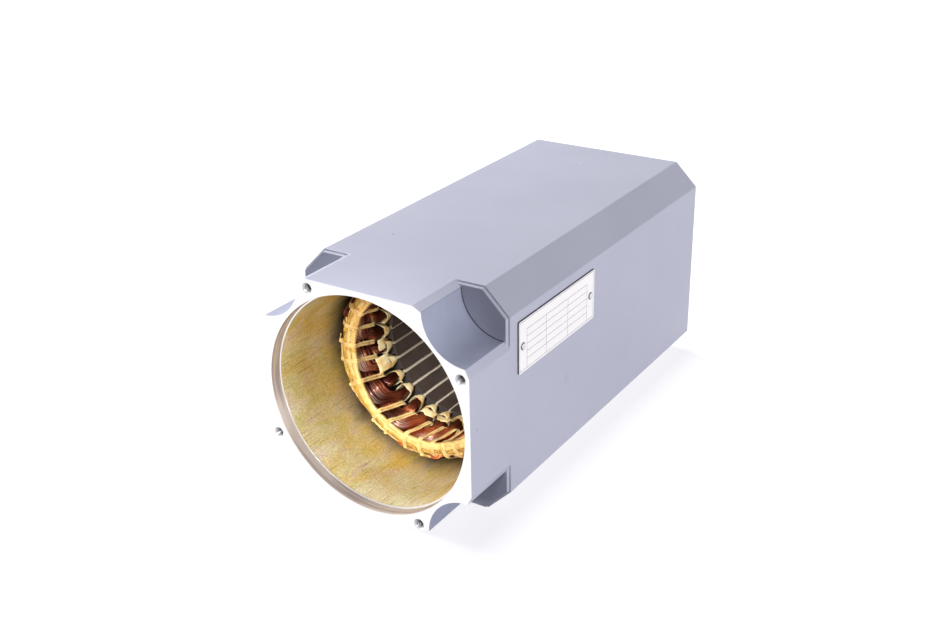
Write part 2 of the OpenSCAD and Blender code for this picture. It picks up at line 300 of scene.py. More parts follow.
def close_up(piece, smooth):
    pick(piece)
    bpy.ops.object.mode_set(mode="EDIT")
    bpy.ops.mesh.select_all(action="SELECT")
    bpy.ops.mesh.remove_doubles(threshold=MERGE_MM * MM)
    bpy.ops.mesh.normals_make_consistent(inside=False)
    bpy.ops.object.mode_set(mode="OBJECT")
    bpy.ops.object.shade_smooth_by_angle(angle=math.radians(smooth))
    return piece


def shaped_grid(name, along, round_, place):
    """A grid primitive whose points are moved to place(u, v), with u and v from 0 to 1."""
    bpy.ops.object.select_all(action="DESELECT")
    bpy.ops.mesh.primitive_grid_add(x_subdivisions=along, y_subdivisions=round_, size=2)
    made = bpy.context.object
    made.name = name
    for point in made.data.vertices:
        point.co = place((point.co.x + 1) / 2, (point.co.y + 1) / 2)
    return made


def joined(name, objects):
    piece = pick(*objects)
    if len(objects) > 1:
        bpy.ops.object.join()
    piece.name = name
    piece.data.name = name
    return piece


def twin(piece, matrix=None):
    """A copy with its own mesh, moved by a matrix in its mesh."""
    made = piece.copy()
    made.data = piece.data.copy()
    bpy.context.scene.collection.objects.link(made)
    if matrix is not None:
        made.data.transform(matrix)
    return made


def hand_over(piece, slot, *replaced):
    """The piece rides on the one body and stands for CAD nodes, which are hidden. The slot is not used."""
    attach(piece, "root")
    if replaced:
        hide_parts(*replaced)
    print(piece.name, "faces:", len(piece.data.polygons))


# %% [markdown]
# ## Housing finishes
# The outside is cast aluminium under a satin grey enamel: an even blue-grey with a faint orange
# peel and a few marks from handling. Noise on the object's own coordinates gives the slow clouds
# of tone and the fine dimples, and each mark is a ragged spot at its place.

# %% Satin enamel on cast aluminium
PEEL_MM = 1.6      # width of one dimple of the orange peel
CLOUD_MM = 60      # width of the slow changes of tone
enamel, tree, shader, coords = start("satin_enamel_on_cast_aluminium", Roughness=0.46)
cloud = put(tree, "TexNoise", {}, {"Vector": coords, "Scale": 1 / (CLOUD_MM * MM), "Detail": 4})
tone = put(tree, "Mix", RGBA, {0: cloud, 6: colour("a9abbe"), 7: colour("b7b8ca")})
# two dark scuffs, a bright nick and a rubbed patch: place in metres, size in mm, colour
MARKS = [((-0.037, -0.0725, 0.155), 1.6, "6d6f80"), ((-0.0017, 0.1216, 0.155), 1.5, "d6d7e4"),
         ((0.0775, -0.0426, 0.0656), 5.0, "a3a4b8"), ((0.0775, -0.1532, 0.081), 1.2, "777990")]
for where, size, shade in MARKS:
    away = put(tree, "VectorMath", {"operation": "DISTANCE"}, {0: coords, 1: where})
    near = put(tree, "MapRange", {},
               {"Value": away, "From Min": size * MM, "From Max": 0.4 * size * MM})
    ragged = put(tree, "TexNoise", {}, {"Vector": coords, "Scale": 1.5 / (size * MM), "Detail": 3})
    patch = put(tree, "Math", {"operation": "MULTIPLY"}, {0: near, 1: ragged})
    tone = put(tree, "Mix", RGBA, {0: patch, 6: tone, 7: colour(shade)})
peel = put(tree, "TexNoise", {}, {"Vector": coords, "Scale": 1 / (PEEL_MM * MM), "Detail": 1})
bump = put(tree, "Bump", {}, {"Height": peel, "Strength": 0.12, "Distance": 0.1 * MM})
plug(tree, shader, {"Base Color": tone, "Normal": bump})

# %% [markdown]
# ## Corner pockets
# A round cutter has swept a pocket into each corner at the drive end, which gives room for the
# screws. The enamel there is painted darker, as painted shade of the recess, and a dark line of
# painted shade lies in the corner between the floor and the end wall. That line follows from the
# depth alone.

# %% Enamel in the corner pockets, darkened as painted shade
POCKET_MM = 43     # length of a pocket
DULL_MM = 15       # width of a patch of tone
POCKET_END = END_FRONT + POCKET_MM * MM
pocket_shaded_enamel, tree, shader, coords = start("enamel_with_painted_pocket_shade", Roughness=0.55)
cloud = put(tree, "TexNoise", {}, {"Vector": coords, "Scale": 1 / (DULL_MM * MM), "Detail": 5})
# painted shade: the pockets' enamel is darker than the rest of the housing, for the recess
tone = put(tree, "Mix", RGBA, {0: cloud, 6: colour("8488a0"), 7: colour("959ab0")})
split = put(tree, "SeparateXYZ", {}, {"Vector": coords})
# painted shade: a dark line in the corner between the pocket floor and the end wall
corner_shade = put(tree, "MapRange", {},
             {"Value": split.outputs["Y"],
              "From Min": POCKET_END - 1.5 * MM, "From Max": POCKET_END - 0.7 * MM})
tone = put(tree, "Mix", RGBA, {0: corner_shade, 6: tone, 7: colour("2b2e3c")})
plug(tree, shader, {"Base Color": tone})
print("pockets end", round((POCKET_END - END_FRONT) / MM, 1), "mm behind the front face")

# %% [markdown]
# ## Machined aluminium
# The ends are milled bright, and each end has a register, a shallow turned step that centres the
# end shield. Both are bare metal, and the tool leaves fine lines: rings on a face, bands in a
# turned hole. A wave texture draws such lines, and a bump is enough, because they are so shallow.

# %% Milled aluminium end faces
WAVE = math.pi / 10  # a wave texture of this scale repeats once in each unit of length
CUTTER_MM = 0.9    # spacing of the cutter's marks, drawn coarser than real so that they show
milled, tree, shader, coords = start("milled_aluminium", Base_Color=colour("f2f1f0"),
                                     Metallic=1.0, Roughness=0.32)
swirl = put(tree, "TexWave", {"wave_type": "RINGS", "rings_direction": "Y"},
            {"Vector": coords, "Scale": WAVE / (CUTTER_MM * MM), "Distortion": 2, "Detail": 2})
bump = put(tree, "Bump", {}, {"Height": swirl.outputs["Fac"], "Strength": 0.05, "Distance": 0.05 * MM})
plug(tree, shader, {"Normal": bump})

# %% Turned aluminium register
TOOL_MM = 0.8      # feed of the turning tool, drawn coarse enough to show
RUB_MM = 2.2       # width of one rubbed ring
HAZE_MM = 14       # width of a hazy patch
turned_metal, tree, shader, coords = start("turned_aluminium_register", Metallic=0.65, Roughness=0.42)
lines = put(tree, "TexWave", {"bands_direction": "Y"},
            {"Vector": coords, "Scale": WAVE / (TOOL_MM * MM), "Distortion": 0.6, "Detail": 2})
haze = put(tree, "TexNoise", {}, {"Vector": coords, "Scale": 1 / (HAZE_MM * MM), "Detail": 5})
tone = put(tree, "Mix", RGBA, {0: haze, 6: colour("c9bdb8"), 7: colour("dfd7d3")})
# rubbed rings: parts pushed into the register have dulled it in bands
drawn = put(tree, "Mapping", {}, {"Vector": coords, "Scale": (0.04, 1, 0.04)})
rub = put(tree, "TexNoise", {}, {"Vector": drawn, "Scale": 1 / (RUB_MM * MM), "Detail": 2})
rub = put(tree, "MapRange", {}, {"Value": rub, "From Min": 0.45, "From Max": 0.62})
tone = put(tree, "Mix", RGBA, {0: rub, 6: tone, 7: colour("aca0a2")})
bump = put(tree, "Bump", {}, {"Height": lines.outputs["Fac"], "Strength": 0.12, "Distance": 0.05 * MM})
plug(tree, shader, {"Base Color": tone, "Normal": bump})

# %% [markdown]
# ## Stained bore
# The wound stator was dipped in varnish and baked. What ran off the winding stained the bore:
# yellow and olive blotches, and dark brown next to the winding, which is partly painted shade of
# the winding. The mouth and the bottom are painted lighter, as painted light falling in at the
# open end. Several noises are laid over each other, and places in the bore decide which shows.

# %% Varnish-stained bore
STAIN_MM = 26      # width of one blotch of varnish
PATCH_MM = 17      # width of an olive or pink patch
GRAIN_MM = 1.3     # grain of the turned surface under the varnish
SCRATCH_MM = 0.7   # width of a scratch along the bore, drawn coarse enough to show
THICK_AND_SHADED = {"From Min": 0.1065, "From Max": 0.0605}                  # metres from the middle of the core
MOUTH_LIT_SPAN = {"From Min": 0.139, "From Max": 0.161, "To Max": 0.7}     # the same, towards the mouth, where light is painted in
BOTTOM_LIT_SPAN = {"From Min": 0.045, "From Max": 0.018, "To Max": 0.4}    # metres above the floor, where light is painted in along the bottom
LIT_TINT = (1.45, 1.62, 2.05, 1)    # how much lighter and less yellow the painted light makes the bore


def along_axis(tree, coords):
    """Metres from the middle of the core along the motor axis, towards either end."""
    split = put(tree, "SeparateXYZ", {}, {"Vector": coords})
    away = put(tree, "Math", {"operation": "SUBTRACT"},
               {0: split.outputs["Y"], 1: (CORE_FRONT + CORE_REAR) / 2})
    return put(tree, "Math", {"operation": "ABSOLUTE"}, {0: away})


stained, tree, shader, coords = start("varnish_stained_aluminium_bore", Metallic=0.25, Roughness=0.4)
runs = put(tree, "Mapping", {}, {"Vector": coords, "Scale": (1, 0.55, 1)})
blotch = put(tree, "TexNoise", {},
             {"Vector": runs, "Scale": 1 / (STAIN_MM * MM), "Detail": 6, "Distortion": 0.7})
spread = put(tree, "MapRange", {}, {"Value": blotch, "From Min": 0.36, "From Max": 0.64})
tone = put(tree, "Mix", RGBA, {0: spread, 6: colour("b9984c"), 7: colour("c6b68c")})
patch = put(tree, "TexNoise", {},
            {"Vector": runs, "Scale": 1 / (PATCH_MM * MM), "Detail": 5, "Distortion": 1.2})
olive = put(tree, "MapRange", {}, {"Value": patch, "From Min": 0.50, "From Max": 0.66, "To Max": 0.65})
tone = put(tree, "Mix", RGBA, {0: olive, 6: tone, 7: colour("b3a356")})
pink = put(tree, "MapRange", {}, {"Value": patch, "From Min": 0.44, "From Max": 0.34, "To Max": 0.6})
tone = put(tree, "Mix", RGBA, {0: pink, 6: tone, 7: colour("bd9f83")})
grain = put(tree, "TexNoise", {}, {"Vector": coords, "Scale": 1 / (GRAIN_MM * MM), "Detail": 3})
speck = put(tree, "MapRange", {}, {"Value": grain, "From Min": 0.3, "From Max": 0.7})
tone = put(tree, "Mix", {**RGBA, "blend_type": "OVERLAY"}, {0: 0.22, 6: tone, 7: speck})
drawn = put(tree, "Mapping", {}, {"Vector": coords, "Scale": (1, 0.03, 1)})
scratch = put(tree, "TexNoise", {}, {"Vector": drawn, "Scale": 1 / (SCRATCH_MM * MM), "Detail": 3})
streak = put(tree, "MapRange", {}, {"Value": scratch, "From Min": 0.60, "From Max": 0.72})
tone = put(tree, "Mix", TINT, {0: streak, 6: tone, 7: colour("b5a68c")})
# the varnish is thickest next to the winding, at both ends of the core, and the dark brown there
# is also painted shade of the winding
along = along_axis(tree, coords)
wander = put(tree, "Math", {"operation": "MULTIPLY_ADD"}, {0: blotch, 1: -0.05, 2: along})
varnish_and_shade = put(tree, "MapRange", SMOOTH, {"Value": wander, **THICK_AND_SHADED})
tone = put(tree, "Mix", RGBA, {0: varnish_and_shade, 6: tone, 7: colour("4a3220")})
# painted light: near the mouth and along the bottom the bore is made lighter and less yellow
painted_mouth_light = put(tree, "MapRange", {}, {"Value": along, **MOUTH_LIT_SPAN})
height = put(tree, "SeparateXYZ", {}, {"Vector": coords})
painted_bottom_light = put(tree, "MapRange", {}, {"Value": height.outputs["Z"], **BOTTOM_LIT_SPAN})
painted_bore_light = put(tree, "Math", SUM, {0: painted_mouth_light, 1: painted_bottom_light})
tone = put(tree, "Mix", TINT, {0: painted_bore_light, 6: tone, 7: LIT_TINT})
bump = put(tree, "Bump", {}, {"Height": scratch, "Strength": 0.25, "Distance": 0.08 * MM})
plug(tree, shader, {"Base Color": tone, "Normal": bump})

# %% [markdown]
# ## Tapped holes
# The walls of the fixing holes are painted bright at the mouth and dark further in, a painted
# shade of the hole's depth. The depth along the hole sets that, and bands at the thread's pitch
# rough up the wall.

# %% Drilled hole walls
THREAD_MM = 1.0    # pitch of an M6 thread
drilled, tree, shader, coords = start("tapped_aluminium", Metallic=1.0, Roughness=0.38)
split = put(tree, "SeparateXYZ", {}, {"Vector": coords})
near_end = put(tree, "Math", {"operation": "ABSOLUTE"}, {0: split.outputs["Y"]})
# painted light and shade: the wall is bright near the mouth and dark deeper in the hole
hole_mouth_light = put(tree, "MapRange", {},
             {"Value": near_end, "From Min": END_REAR - 4.5 * MM, "From Max": END_REAR - 1 * MM})
tone = put(tree, "Mix", RGBA, {0: hole_mouth_light, 6: colour("3a3a3c"), 7: colour("c4c4c6")})
rings = put(tree, "TexWave", {"bands_direction": "Y"}, {"Vector": coords, "Scale": WAVE / (THREAD_MM * MM)})
bump = put(tree, "Bump", {}, {"Height": rings.outputs["Fac"], "Strength": 0.3, "Distance": 0.2 * MM})
plug(tree, shader, {"Base Color": tone, "Normal": bump})

# %% [markdown]
# ## Housing
# The CAD housing has the right shape but knife edges, and a real casting has none. A copy of it
# is merged, its triangles are dissolved into whole faces, and its sharp edges are bevelled with
# the edge operator. Materials then go to the faces by where they lie.

# %% Merged copy with broken edges
EDGE_MM = 0.45     # width of a broken edge
FRONT_HOLES = [(71.5, 38.04), (-38.04, 71.5), (-71.5, -38.04), (38.04, -71.5)]
REAR_HOLES = [(60.5, 60.5), (-60.5, 60.5), (-60.5, -60.5), (60.5, -60.5)]
KEEP_SHARP_MM = 4.4          # edges this close to a hole's axis are left as they are
BORE_MM, REGISTER_MM = 72.5, 73.5
HOLE_MM, HOLE_DEEP, REGISTER_DEEP = 3.7, 21, 8.3   # a hole's reach and two depths, with some room
POCKET_C, POCKET_R = 74.5, 28.96   # the cutter's axis and radius that swept a pocket's floor


def by_hole(point, reach):
    holes = FRONT_HOLES if point.y < 0 else REAR_HOLES
    return any(math.hypot(point.x / MM - x, (point.z - AXIS_Z) / MM - z) < reach for x, z in holes)


def bare_copy(node):
    """A copy of a CAD node as a plain mesh, without the frame's marks, its finish or its stored normals."""
    made = twin(nodes[node])
    for key in [k for k in made.keys() if k.startswith("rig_")]:
        del made[key]
    made.parent = None
    made.matrix_world = Matrix.Identity(4)
    made.data.materials.clear()
    pick(made)
    bpy.ops.mesh.customdata_custom_splitnormals_clear()
    return made


housing = bare_copy("housing")
housing.name = "housing_casting"
bpy.context.tool_settings.mesh_select_mode = (False, True, False)
bpy.ops.object.mode_set(mode="EDIT")
bpy.ops.mesh.select_all(action="SELECT")
bpy.ops.mesh.remove_doubles(threshold=MERGE_MM * MM)
bpy.ops.mesh.dissolve_limited(angle_limit=math.radians(0.4))
bpy.ops.mesh.select_all(action="DESELECT")
bpy.ops.mesh.edges_select_sharp(sharpness=math.radians(25))
bpy.ops.object.mode_set(mode="OBJECT")
for edge in housing.data.edges:
    if edge.select and any(by_hole(housing.data.vertices[i].co, KEEP_SHARP_MM) for i in edge.vertices):
        edge.select = False
bpy.ops.object.mode_set(mode="EDIT")
bpy.ops.mesh.bevel(offset=EDGE_MM * MM, segments=2, clamp_overlap=False)
bpy.ops.object.mode_set(mode="OBJECT")
bpy.context.tool_settings.mesh_select_mode = (True, False, False)
print("housing faces:", len(housing.data.polygons))

# %% Finishes by place
finishes = (enamel, milled, stained, turned_metal, drilled, pocket_shaded_enamel)
ENAMEL, MILLED, STAINED, TURNED, DRILLED, POCKET_SHADE = range(len(finishes))
for finish in finishes:
    housing.data.materials.append(finish)
bpy.ops.object.shade_smooth_by_angle(angle=math.radians(32))
# the fractions of a millimetre allow for the broken edges
for face in housing.data.polygons:
    middle = face.center
    radius = math.hypot(middle.x, middle.z - AXIS_Z) / MM
    depth = min(middle.y - END_FRONT, END_REAR - middle.y) / MM
    if by_hole(middle, HOLE_MM) and depth < HOLE_DEEP:
        face.material_index = DRILLED
    elif depth < 0.3 and abs(face.normal.y) > 0.5:
        face.material_index = MILLED
    elif radius < REGISTER_MM + 0.25 and depth < REGISTER_DEEP:
        in_step = radius > BORE_MM + 0.6 and abs(face.normal.y) < 0.5
        face.material_index = TURNED if in_step else MILLED
    elif radius < BORE_MM + 0.25:
        face.material_index = STAINED
    elif middle.y < POCKET_END and abs(face.normal.y) < 0.8 and abs(math.hypot(
            abs(middle.x) / MM - POCKET_C, abs(middle.z - AXIS_Z) / MM - POCKET_C) - POCKET_R) < 0.5:
        face.material_index = POCKET_SHADE
    if face.material_index in (ENAMEL, MILLED) and face.area > 20 * MM * MM:
        face.use_smooth = False
hand_over(housing, "housing_paint", "housing")

# %% [markdown]
# ## Threads in the fixing holes
# Each end of the housing has four M6 holes. A thread is a triangle that climbs along a screw line,
# so one triangle goes through the Screw modifier, its two open ends are filled, and the result is
# copied into every hole.

# %% One thread, copied into the holes
THREAD_TURNS = 17
THREAD_FORM = [(2.55, -0.4), (2.2, 0), (2.55, 0.4)]     # corners of its triangle, radius and height
THREAD_IN = 1.6    # from the face to the first turn
bpy.ops.object.select_all(action="DESELECT")
bpy.ops.mesh.primitive_circle_add(vertices=3, radius=0.3 * MM, fill_type="NOTHING")
thread = bpy.context.object
for point, (r, z) in zip(thread.data.vertices, THREAD_FORM):
    point.co = (r * MM, 0, z * MM)
bpy.ops.object.modifier_add(type="SCREW")
screw = thread.modifiers[-1]
screw.screw_offset = THREAD_MM * MM
screw.iterations = THREAD_TURNS
screw.steps = screw.render_steps = 14
bpy.ops.object.modifier_apply(modifier=screw.name)
bpy.ops.object.mode_set(mode="EDIT")
bpy.ops.mesh.select_all(action="DESELECT")
bpy.ops.mesh.select_non_manifold(extend=False)
bpy.ops.mesh.edge_face_add()
bpy.ops.object.mode_set(mode="OBJECT")
threads = []
for holes, y, tilt in ((FRONT_HOLES, END_FRONT, -90), (REAR_HOLES, END_REAR, 90)):
    for x, z in holes:
        seat = Vector((x * MM, y + math.copysign(THREAD_IN * MM, -y), AXIS_Z + z * MM))
        threads.append(twin(thread, Matrix.Translation(seat) @ Matrix.Rotation(math.radians(tilt), 4, "X")))
bpy.data.objects.remove(thread)
threads = close_up(joined("tapped_threads", threads), smooth=25)
threads.data.materials.append(drilled)
hand_over(threads, "housing_paint")

# %% [markdown]
# ## Core
# The core is a stack of thin silicon-steel sheets, stained dark brown by baked varnish. Its shape
# comes from the CAD as it is. The eye sees faint lines of the sheets in the bore, and a greyer
# end face where the varnish lies thin, so the finish tells the ends from the bore by their place.

# %% Varnished steel laminations
SHEET_MM = 1.2     # real sheets are 0.5 mm thick, drawn thicker so that they show
BLOT_MM = 9        # width of a blot of varnish
laminated, tree, shader, coords = start("varnished_steel_laminations", Roughness=0.42, Metallic=0.3)
stack = put(tree, "TexWave", {"bands_direction": "Y"},
            {"Vector": coords, "Scale": WAVE / (SHEET_MM * MM), "Distortion": 0.5, "Detail": 2})
blot = put(tree, "TexNoise", {}, {"Vector": coords, "Scale": 1 / (BLOT_MM * MM), "Detail": 5})
tone = put(tree, "Mix", RGBA, {0: blot, 6: colour("3c2f2a"), 7: colour("5f5149")})
# only the two end faces lie this far from the middle of the stack
half_stack = (CORE_REAR - CORE_FRONT) / 2
along = along_axis(tree, coords)
flat = put(tree, "MapRange", {},
           {"Value": along, "From Min": half_stack - 0.2 * MM, "From Max": half_stack - 0.1 * MM})
tone = put(tree, "Mix", RGBA, {0: flat, 6: tone, 7: colour("443e3b")})
bump = put(tree, "Bump", {}, {"Height": stack.outputs["Fac"], "Strength": 0.15, "Distance": 0.06 * MM})
plug(tree, shader, {"Base Color": tone, "Normal": bump})
for slot in nodes["core"].material_slots:
    slot.material = laminated
print("core stack in mm:", round(2 * half_stack / MM, 1))

# %% [markdown]
# ## Slot paper and slot strips
# Aramid paper keeps the wires off the steel. It is cream, fibrous and matt, and darker where varnish
# has soaked in. A pale fibre strip closes each slot: a grid rolled into a flat tube, which gives it
# rounded edges and lets its ends be drawn together. One strip is made and copied round the axis.

# %% Slot paper
FIBRE_MM = 1.0     # fleck of the paper's fibres
SOAK_MM = 7        # width of a patch soaked with varnish
paper, tree, shader, coords = start("aramid_slot_paper", Roughness=0.62)
wet = put(tree, "TexNoise", {},
          {"Vector": coords, "Scale": 1 / (SOAK_MM * MM), "Detail": 5, "Distortion": 0.4})
soak = put(tree, "MapRange", {}, {"Value": wet, "From Min": 0.40, "From Max": 0.68})
tone = put(tree, "Mix", RGBA, {0: soak, 6: colour("f4e6b8"), 7: colour("d4ab63")})
fibre = put(tree, "TexNoise", {}, {"Vector": coords, "Scale": 1 / (FIBRE_MM * MM), "Detail": 4})
bump = put(tree, "Bump", {}, {"Height": fibre, "Strength": 0.3, "Distance": 0.15 * MM})
plug(tree, shader, {"Base Color": tone, "Normal": bump})

# %% Slot strips of pale fibre
STRIP_MM = 6       # width of a stain on a strip
fibre_strip, tree, shader, coords = start("varnished_fibre_strip", Roughness=0.5)
stain = put(tree, "TexNoise", {}, {"Vector": coords, "Scale": 1 / (STRIP_MM * MM), "Detail": 4})
tone = put(tree, "Mix", RGBA, {0: stain, 6: colour("b9ab93"), 7: colour("ddd3c2")})
plug(tree, shader, {"Base Color": tone})

# %% Strips that close the slots
# radius of its middle, half its width, half its thickness, and how far it stands out of the core
WEDGE_R, WEDGE_HALF, WEDGE_HIGH, WEDGE_OUT = 52.85, 2.7, 0.5, 1.0
CORE_MM = (CORE_REAR - CORE_FRONT) / MM


def wedge_strip():
    """A flat strip with rounded edges, drawn together at both ends."""
    def place(u, v):
        angle = math.tau * v
        size = 0 if u in (0, 1) else min(1, 0.6 + 12 * min(u, 1 - u))
        wavy = 0.05 * math.sin(40 * u)
        r = WEDGE_R + wavy + WEDGE_HIGH * size * math.copysign(abs(math.sin(angle)) ** 0.5, math.sin(angle))
        s = WEDGE_HALF * size * math.cos(angle)
        return spot(s / r / PITCH, r, WEDGE_OUT - u * (CORE_MM + 2 * WEDGE_OUT))

    return close_up(shaped_grid("strip", 30, 10, place), smooth=50)


strip = wedge_strip()
strips = joined("slot_wedge_strips", [twin(strip, turned(k * PITCH)) for k in range(SLOTS)])
bpy.data.objects.remove(strip)
strips.data.materials.append(fibre_strip)
hand_over(strips, "slot_wedge", "slot_wedges")

# %% [markdown]
# ## Slot liners
# Each slot is lined with a folded U of paper. Where it leaves the core it is turned back on itself
# as a cuff, which keeps the wires off the sharp sheets, and it flares and creases as the coils are
# pressed in. A grid is wrapped along the U and along the cuff's profile, then thickened.

# %% Liner outline and cuff profile
TOOTH_MM = 5.2
LINER_IN, LINER_MID, LINER_OUT = 53.45, 58.9, 64.3     # radii
PAPER_MM = 0.22    # thickness of the paper
RIM_HIGH, RIM_WIDE = 6.4, 4.1      # half sizes of the oval that a cuff opens to
# distance out of the core, and how far the paper stands off the slot wall
CUFF_PROFILE = [(-4, -0.05), (0.1, 0.0), (1.8, 0.05), (3.6, 0.25), (5.6, 0.6), (7.2, 0.95), (7.5, 1.3),
                (6.0, 1.2), (4.0, 0.9), (2.2, 0.7)]
CUFF_OUT = 7.5


def between(points, share):
    """A point part of the way along a list of points, by straight steps."""
    step = min(len(points) - 1.0001, share * (len(points) - 1))
    i = int(step)
    return [a + (b - a) * (step - i) for a, b in zip(points[i], points[i + 1])]


half_in = math.pi * LINER_IN / SLOTS - TOOTH_MM / 2
half_out = math.pi * LINER_OUT / SLOTS - TOOTH_MM / 2
# radius, half width, and how much the point belongs to the side that faces the bore
SLOT_OUTLINE = [(LINER_IN, 0, 1), (LINER_IN, 0.5 * half_in, 1), (LINER_IN, half_in, 1)]
for share, bore_side in ((0.33, 0.4), (0.66, 0.1), (1, 0)):
    SLOT_OUTLINE.append((LINER_IN + (LINER_OUT - LINER_IN) * share,
                         half_in + (half_out - half_in) * share, bore_side))
SLOT_OUTLINE.append((LINER_OUT, 0.4 * half_out, 0))
SLOT_OUTLINE += [(r, -s, b) for r, s, b in reversed(SLOT_OUTLINE)]
FUNNEL_NARROW, FUNNEL_DROP = 0.7, 1.2   # the bore side starts as narrow as the slot mouth


def liner(seed):
    draw = random.Random(seed)
    crease = [[draw.uniform(-0.9, 0.9)] for _ in range(9)]
    crease.append(crease[0])
    tilt = draw.uniform(-0.6, 1.0)
    open_to = draw.uniform(0.6, 1.2)

    def place(u, v):
        rear = v < 0.5
        out, grow = between(CUFF_PROFILE, abs(2 * v - 1))
        r, s, bore_side = between(SLOT_OUTLINE, u)
        rim = max(0, min(1, out / CUFF_OUT))
        angle = math.tau * u
        r += (LINER_MID - RIM_HIGH * math.cos(angle) - r) * rim * 0.6
        s += (RIM_WIDE * math.sin(angle) - s) * rim * 0.6
        r = LINER_MID + (r - LINER_MID) * (1 + grow * open_to / 7)
        s *= (1 + grow * open_to / 4) * (1 - FUNNEL_NARROW * bore_side * (1 - rim) ** 1.5)
        if out > 0:
            r -= FUNNEL_DROP * bore_side * (1 - 0.6 * rim)
        out += rim * (between(crease, u)[0] + tilt * math.cos(angle))
        return spot(s / r / PITCH, r, out, rear)

    return shaped_grid("liner", 26, 38, place)


print("points of the slot's outline:", len(SLOT_OUTLINE))

# %% Thirty liners in one piece


def thicken(sheet, thick):
    """Gives an open sheet its thickness in mm, half of it to each side."""
    pick(sheet)
    bpy.ops.object.modifier_add(type="SOLIDIFY")
    sheet.modifiers[-1].thickness = thick * MM
    sheet.modifiers[-1].offset = 0
    bpy.ops.object.modifier_apply(modifier=sheet.modifiers[-1].name)


liners = []
for k in range(SLOTS):
    made = liner(100 + k)
    made.data.transform(turned(k * PITCH))
    liners.append(made)
liners = close_up(joined("slot_liner_papers", liners), smooth=50)
thicken(liners, PAPER_MM)
liners.data.materials.append(paper)
hand_over(liners, "slot_paper", "slot_liners")

# %% [markdown]
# ## Copper coils
# A coil is a bundle of enamelled wires. It leaves one slot, lies down along the outer layer of the
# end winding, crosses to the inner layer and goes back into the slot three further on. The CAD
# has each bundle as one solid. Here that solid is shrunk a little as a dark filler, painted shade
# that shows in the gaps between the wires, and some forty wires run round its surface, each a curve
# that strays from its neighbours as hand-laid wires do.

# %% Enamelled copper wire
BAKE_MM = 11       # width of a patch that baked darker
OPEN_COIL = (-0.0325, -0.0885, 0.0307)     # the place where no loop holds a coil down, in metres


def off_axis(tree, coords):
    """Metres from the motor axis."""
    off = put(tree, "VectorMath", {"operation": "SUBTRACT"}, {0: coords, 1: (0, 0, AXIS_Z)})
    off = put(tree, "VectorMath", {"operation": "MULTIPLY"}, {0: off, 1: (1, 0, 1)})
    return put(tree, "VectorMath", {"operation": "LENGTH"}, {0: off})


copper, tree, shader, coords = start("enamelled_copper_wire", Metallic=0.8, Roughness=0.33,
                                     Coat_Weight=0.25, Coat_Roughness=0.2)
lot = put(tree, "Attribute", {"attribute_name": "tone"}).outputs["Fac"]
tone = put(tree, "Mix", RGBA, {0: lot, 6: colour("571410"), 7: colour("e4855c")})
bake = put(tree, "TexNoise", {}, {"Vector": coords, "Scale": 1 / (BAKE_MM * MM), "Detail": 4})
bake = put(tree, "MapRange", {}, {"Value": bake, "From Min": 0.48, "From Max": 0.70})
# painted light: the lower coils, where the light falls in, are made a brighter orange
split = put(tree, "SeparateXYZ", {}, {"Vector": coords})
lower_coil_light = put(tree, "MapRange", SMOOTH, {"Value": split.outputs["Z"], "From Min": AXIS_Z - 0.034,
                                         "From Max": AXIS_Z - 0.056, "To Max": 0.75})
# painted highlight: towards the crest the bent wires are made pinkish white, single wires most of all
along = along_axis(tree, coords)
crest_highlight = put(tree, "MapRange", SMOOTH, {"Value": along, "From Min": 0.094, "From Max": 0.104})
inner = put(tree, "MapRange", {}, {"Value": off_axis(tree, coords), "From Min": 0.063, "From Max": 0.060})
for share in (inner, lot):
    crest_highlight = put(tree, "Math", {"operation": "MULTIPLY"}, {0: crest_highlight, 1: share})
# painted shade: next to the cuffs, deep between the coils, the copper is made almost black
neck_shade = put(tree, "MapRange", SMOOTH, {"Value": along, "From Min": 0.090, "From Max": 0.080, "To Max": 0.8})
# painted shade: one coil that no loop holds down stands open, and its hollow is made darkest of all
open_coil_shade = put(tree, "VectorMath", {"operation": "DISTANCE"}, {0: coords, 1: OPEN_COIL})
open_coil_shade = put(tree, "MapRange", SMOOTH,
                {"Value": open_coil_shade, "From Min": 16 * MM, "From Max": 6 * MM, "To Max": 0.75})
for share, shade in ((bake, "43110d"), (lower_coil_light, "f08652"), (crest_highlight, "fbe3d8"),
                     (neck_shade, "3c0f0c"), (open_coil_shade, "350f10")):
    tone = put(tree, "Mix", RGBA, {0: share, 6: tone, 7: colour(shade)})
plug(tree, shader, {"Base Color": tone})

# %% [markdown]
# ### The way of a coil
# The CAD lays a coil end through a row of stations, and the wires have to follow the same way, so
# the stations stand here again: the lower edge of the bundle, its upper edge and its form. A smooth
# curve between them gives more sections, and the rear end is the same row walked backwards.

# %% The path of a coil end
# radii, and distances out of the core, in mm
LEG_R, LEG_HALF, SIDE = 58.75, 5.05, 0.24
OUTER_R, INNER_R, CROSS_R, NECK_R = 65.5, 58.5, 62.0, 62.1
LOW_IN_R, TOP_IN_R = 57.9, 59.1
TURN_T, TURN_LOW, TURN_TOP, INNER_LOW = 6.2, 14.5, 36.0, 18.0
LOW_RIM, HIGH_RIM = 35.0, 38.8     # top of the outer layer; high where bare copper shows outside the leads
CUFF_L, NECK_OUT = 8.0, 9.2
LEG = (LEG_HALF, 0.8, math.pi / SLOTS)      # half thickness, squareness, widening
NECK = (0.68 * TURN_T, 0.6, 0)
TURN = (TURN_T / 2, 0.45, 0)


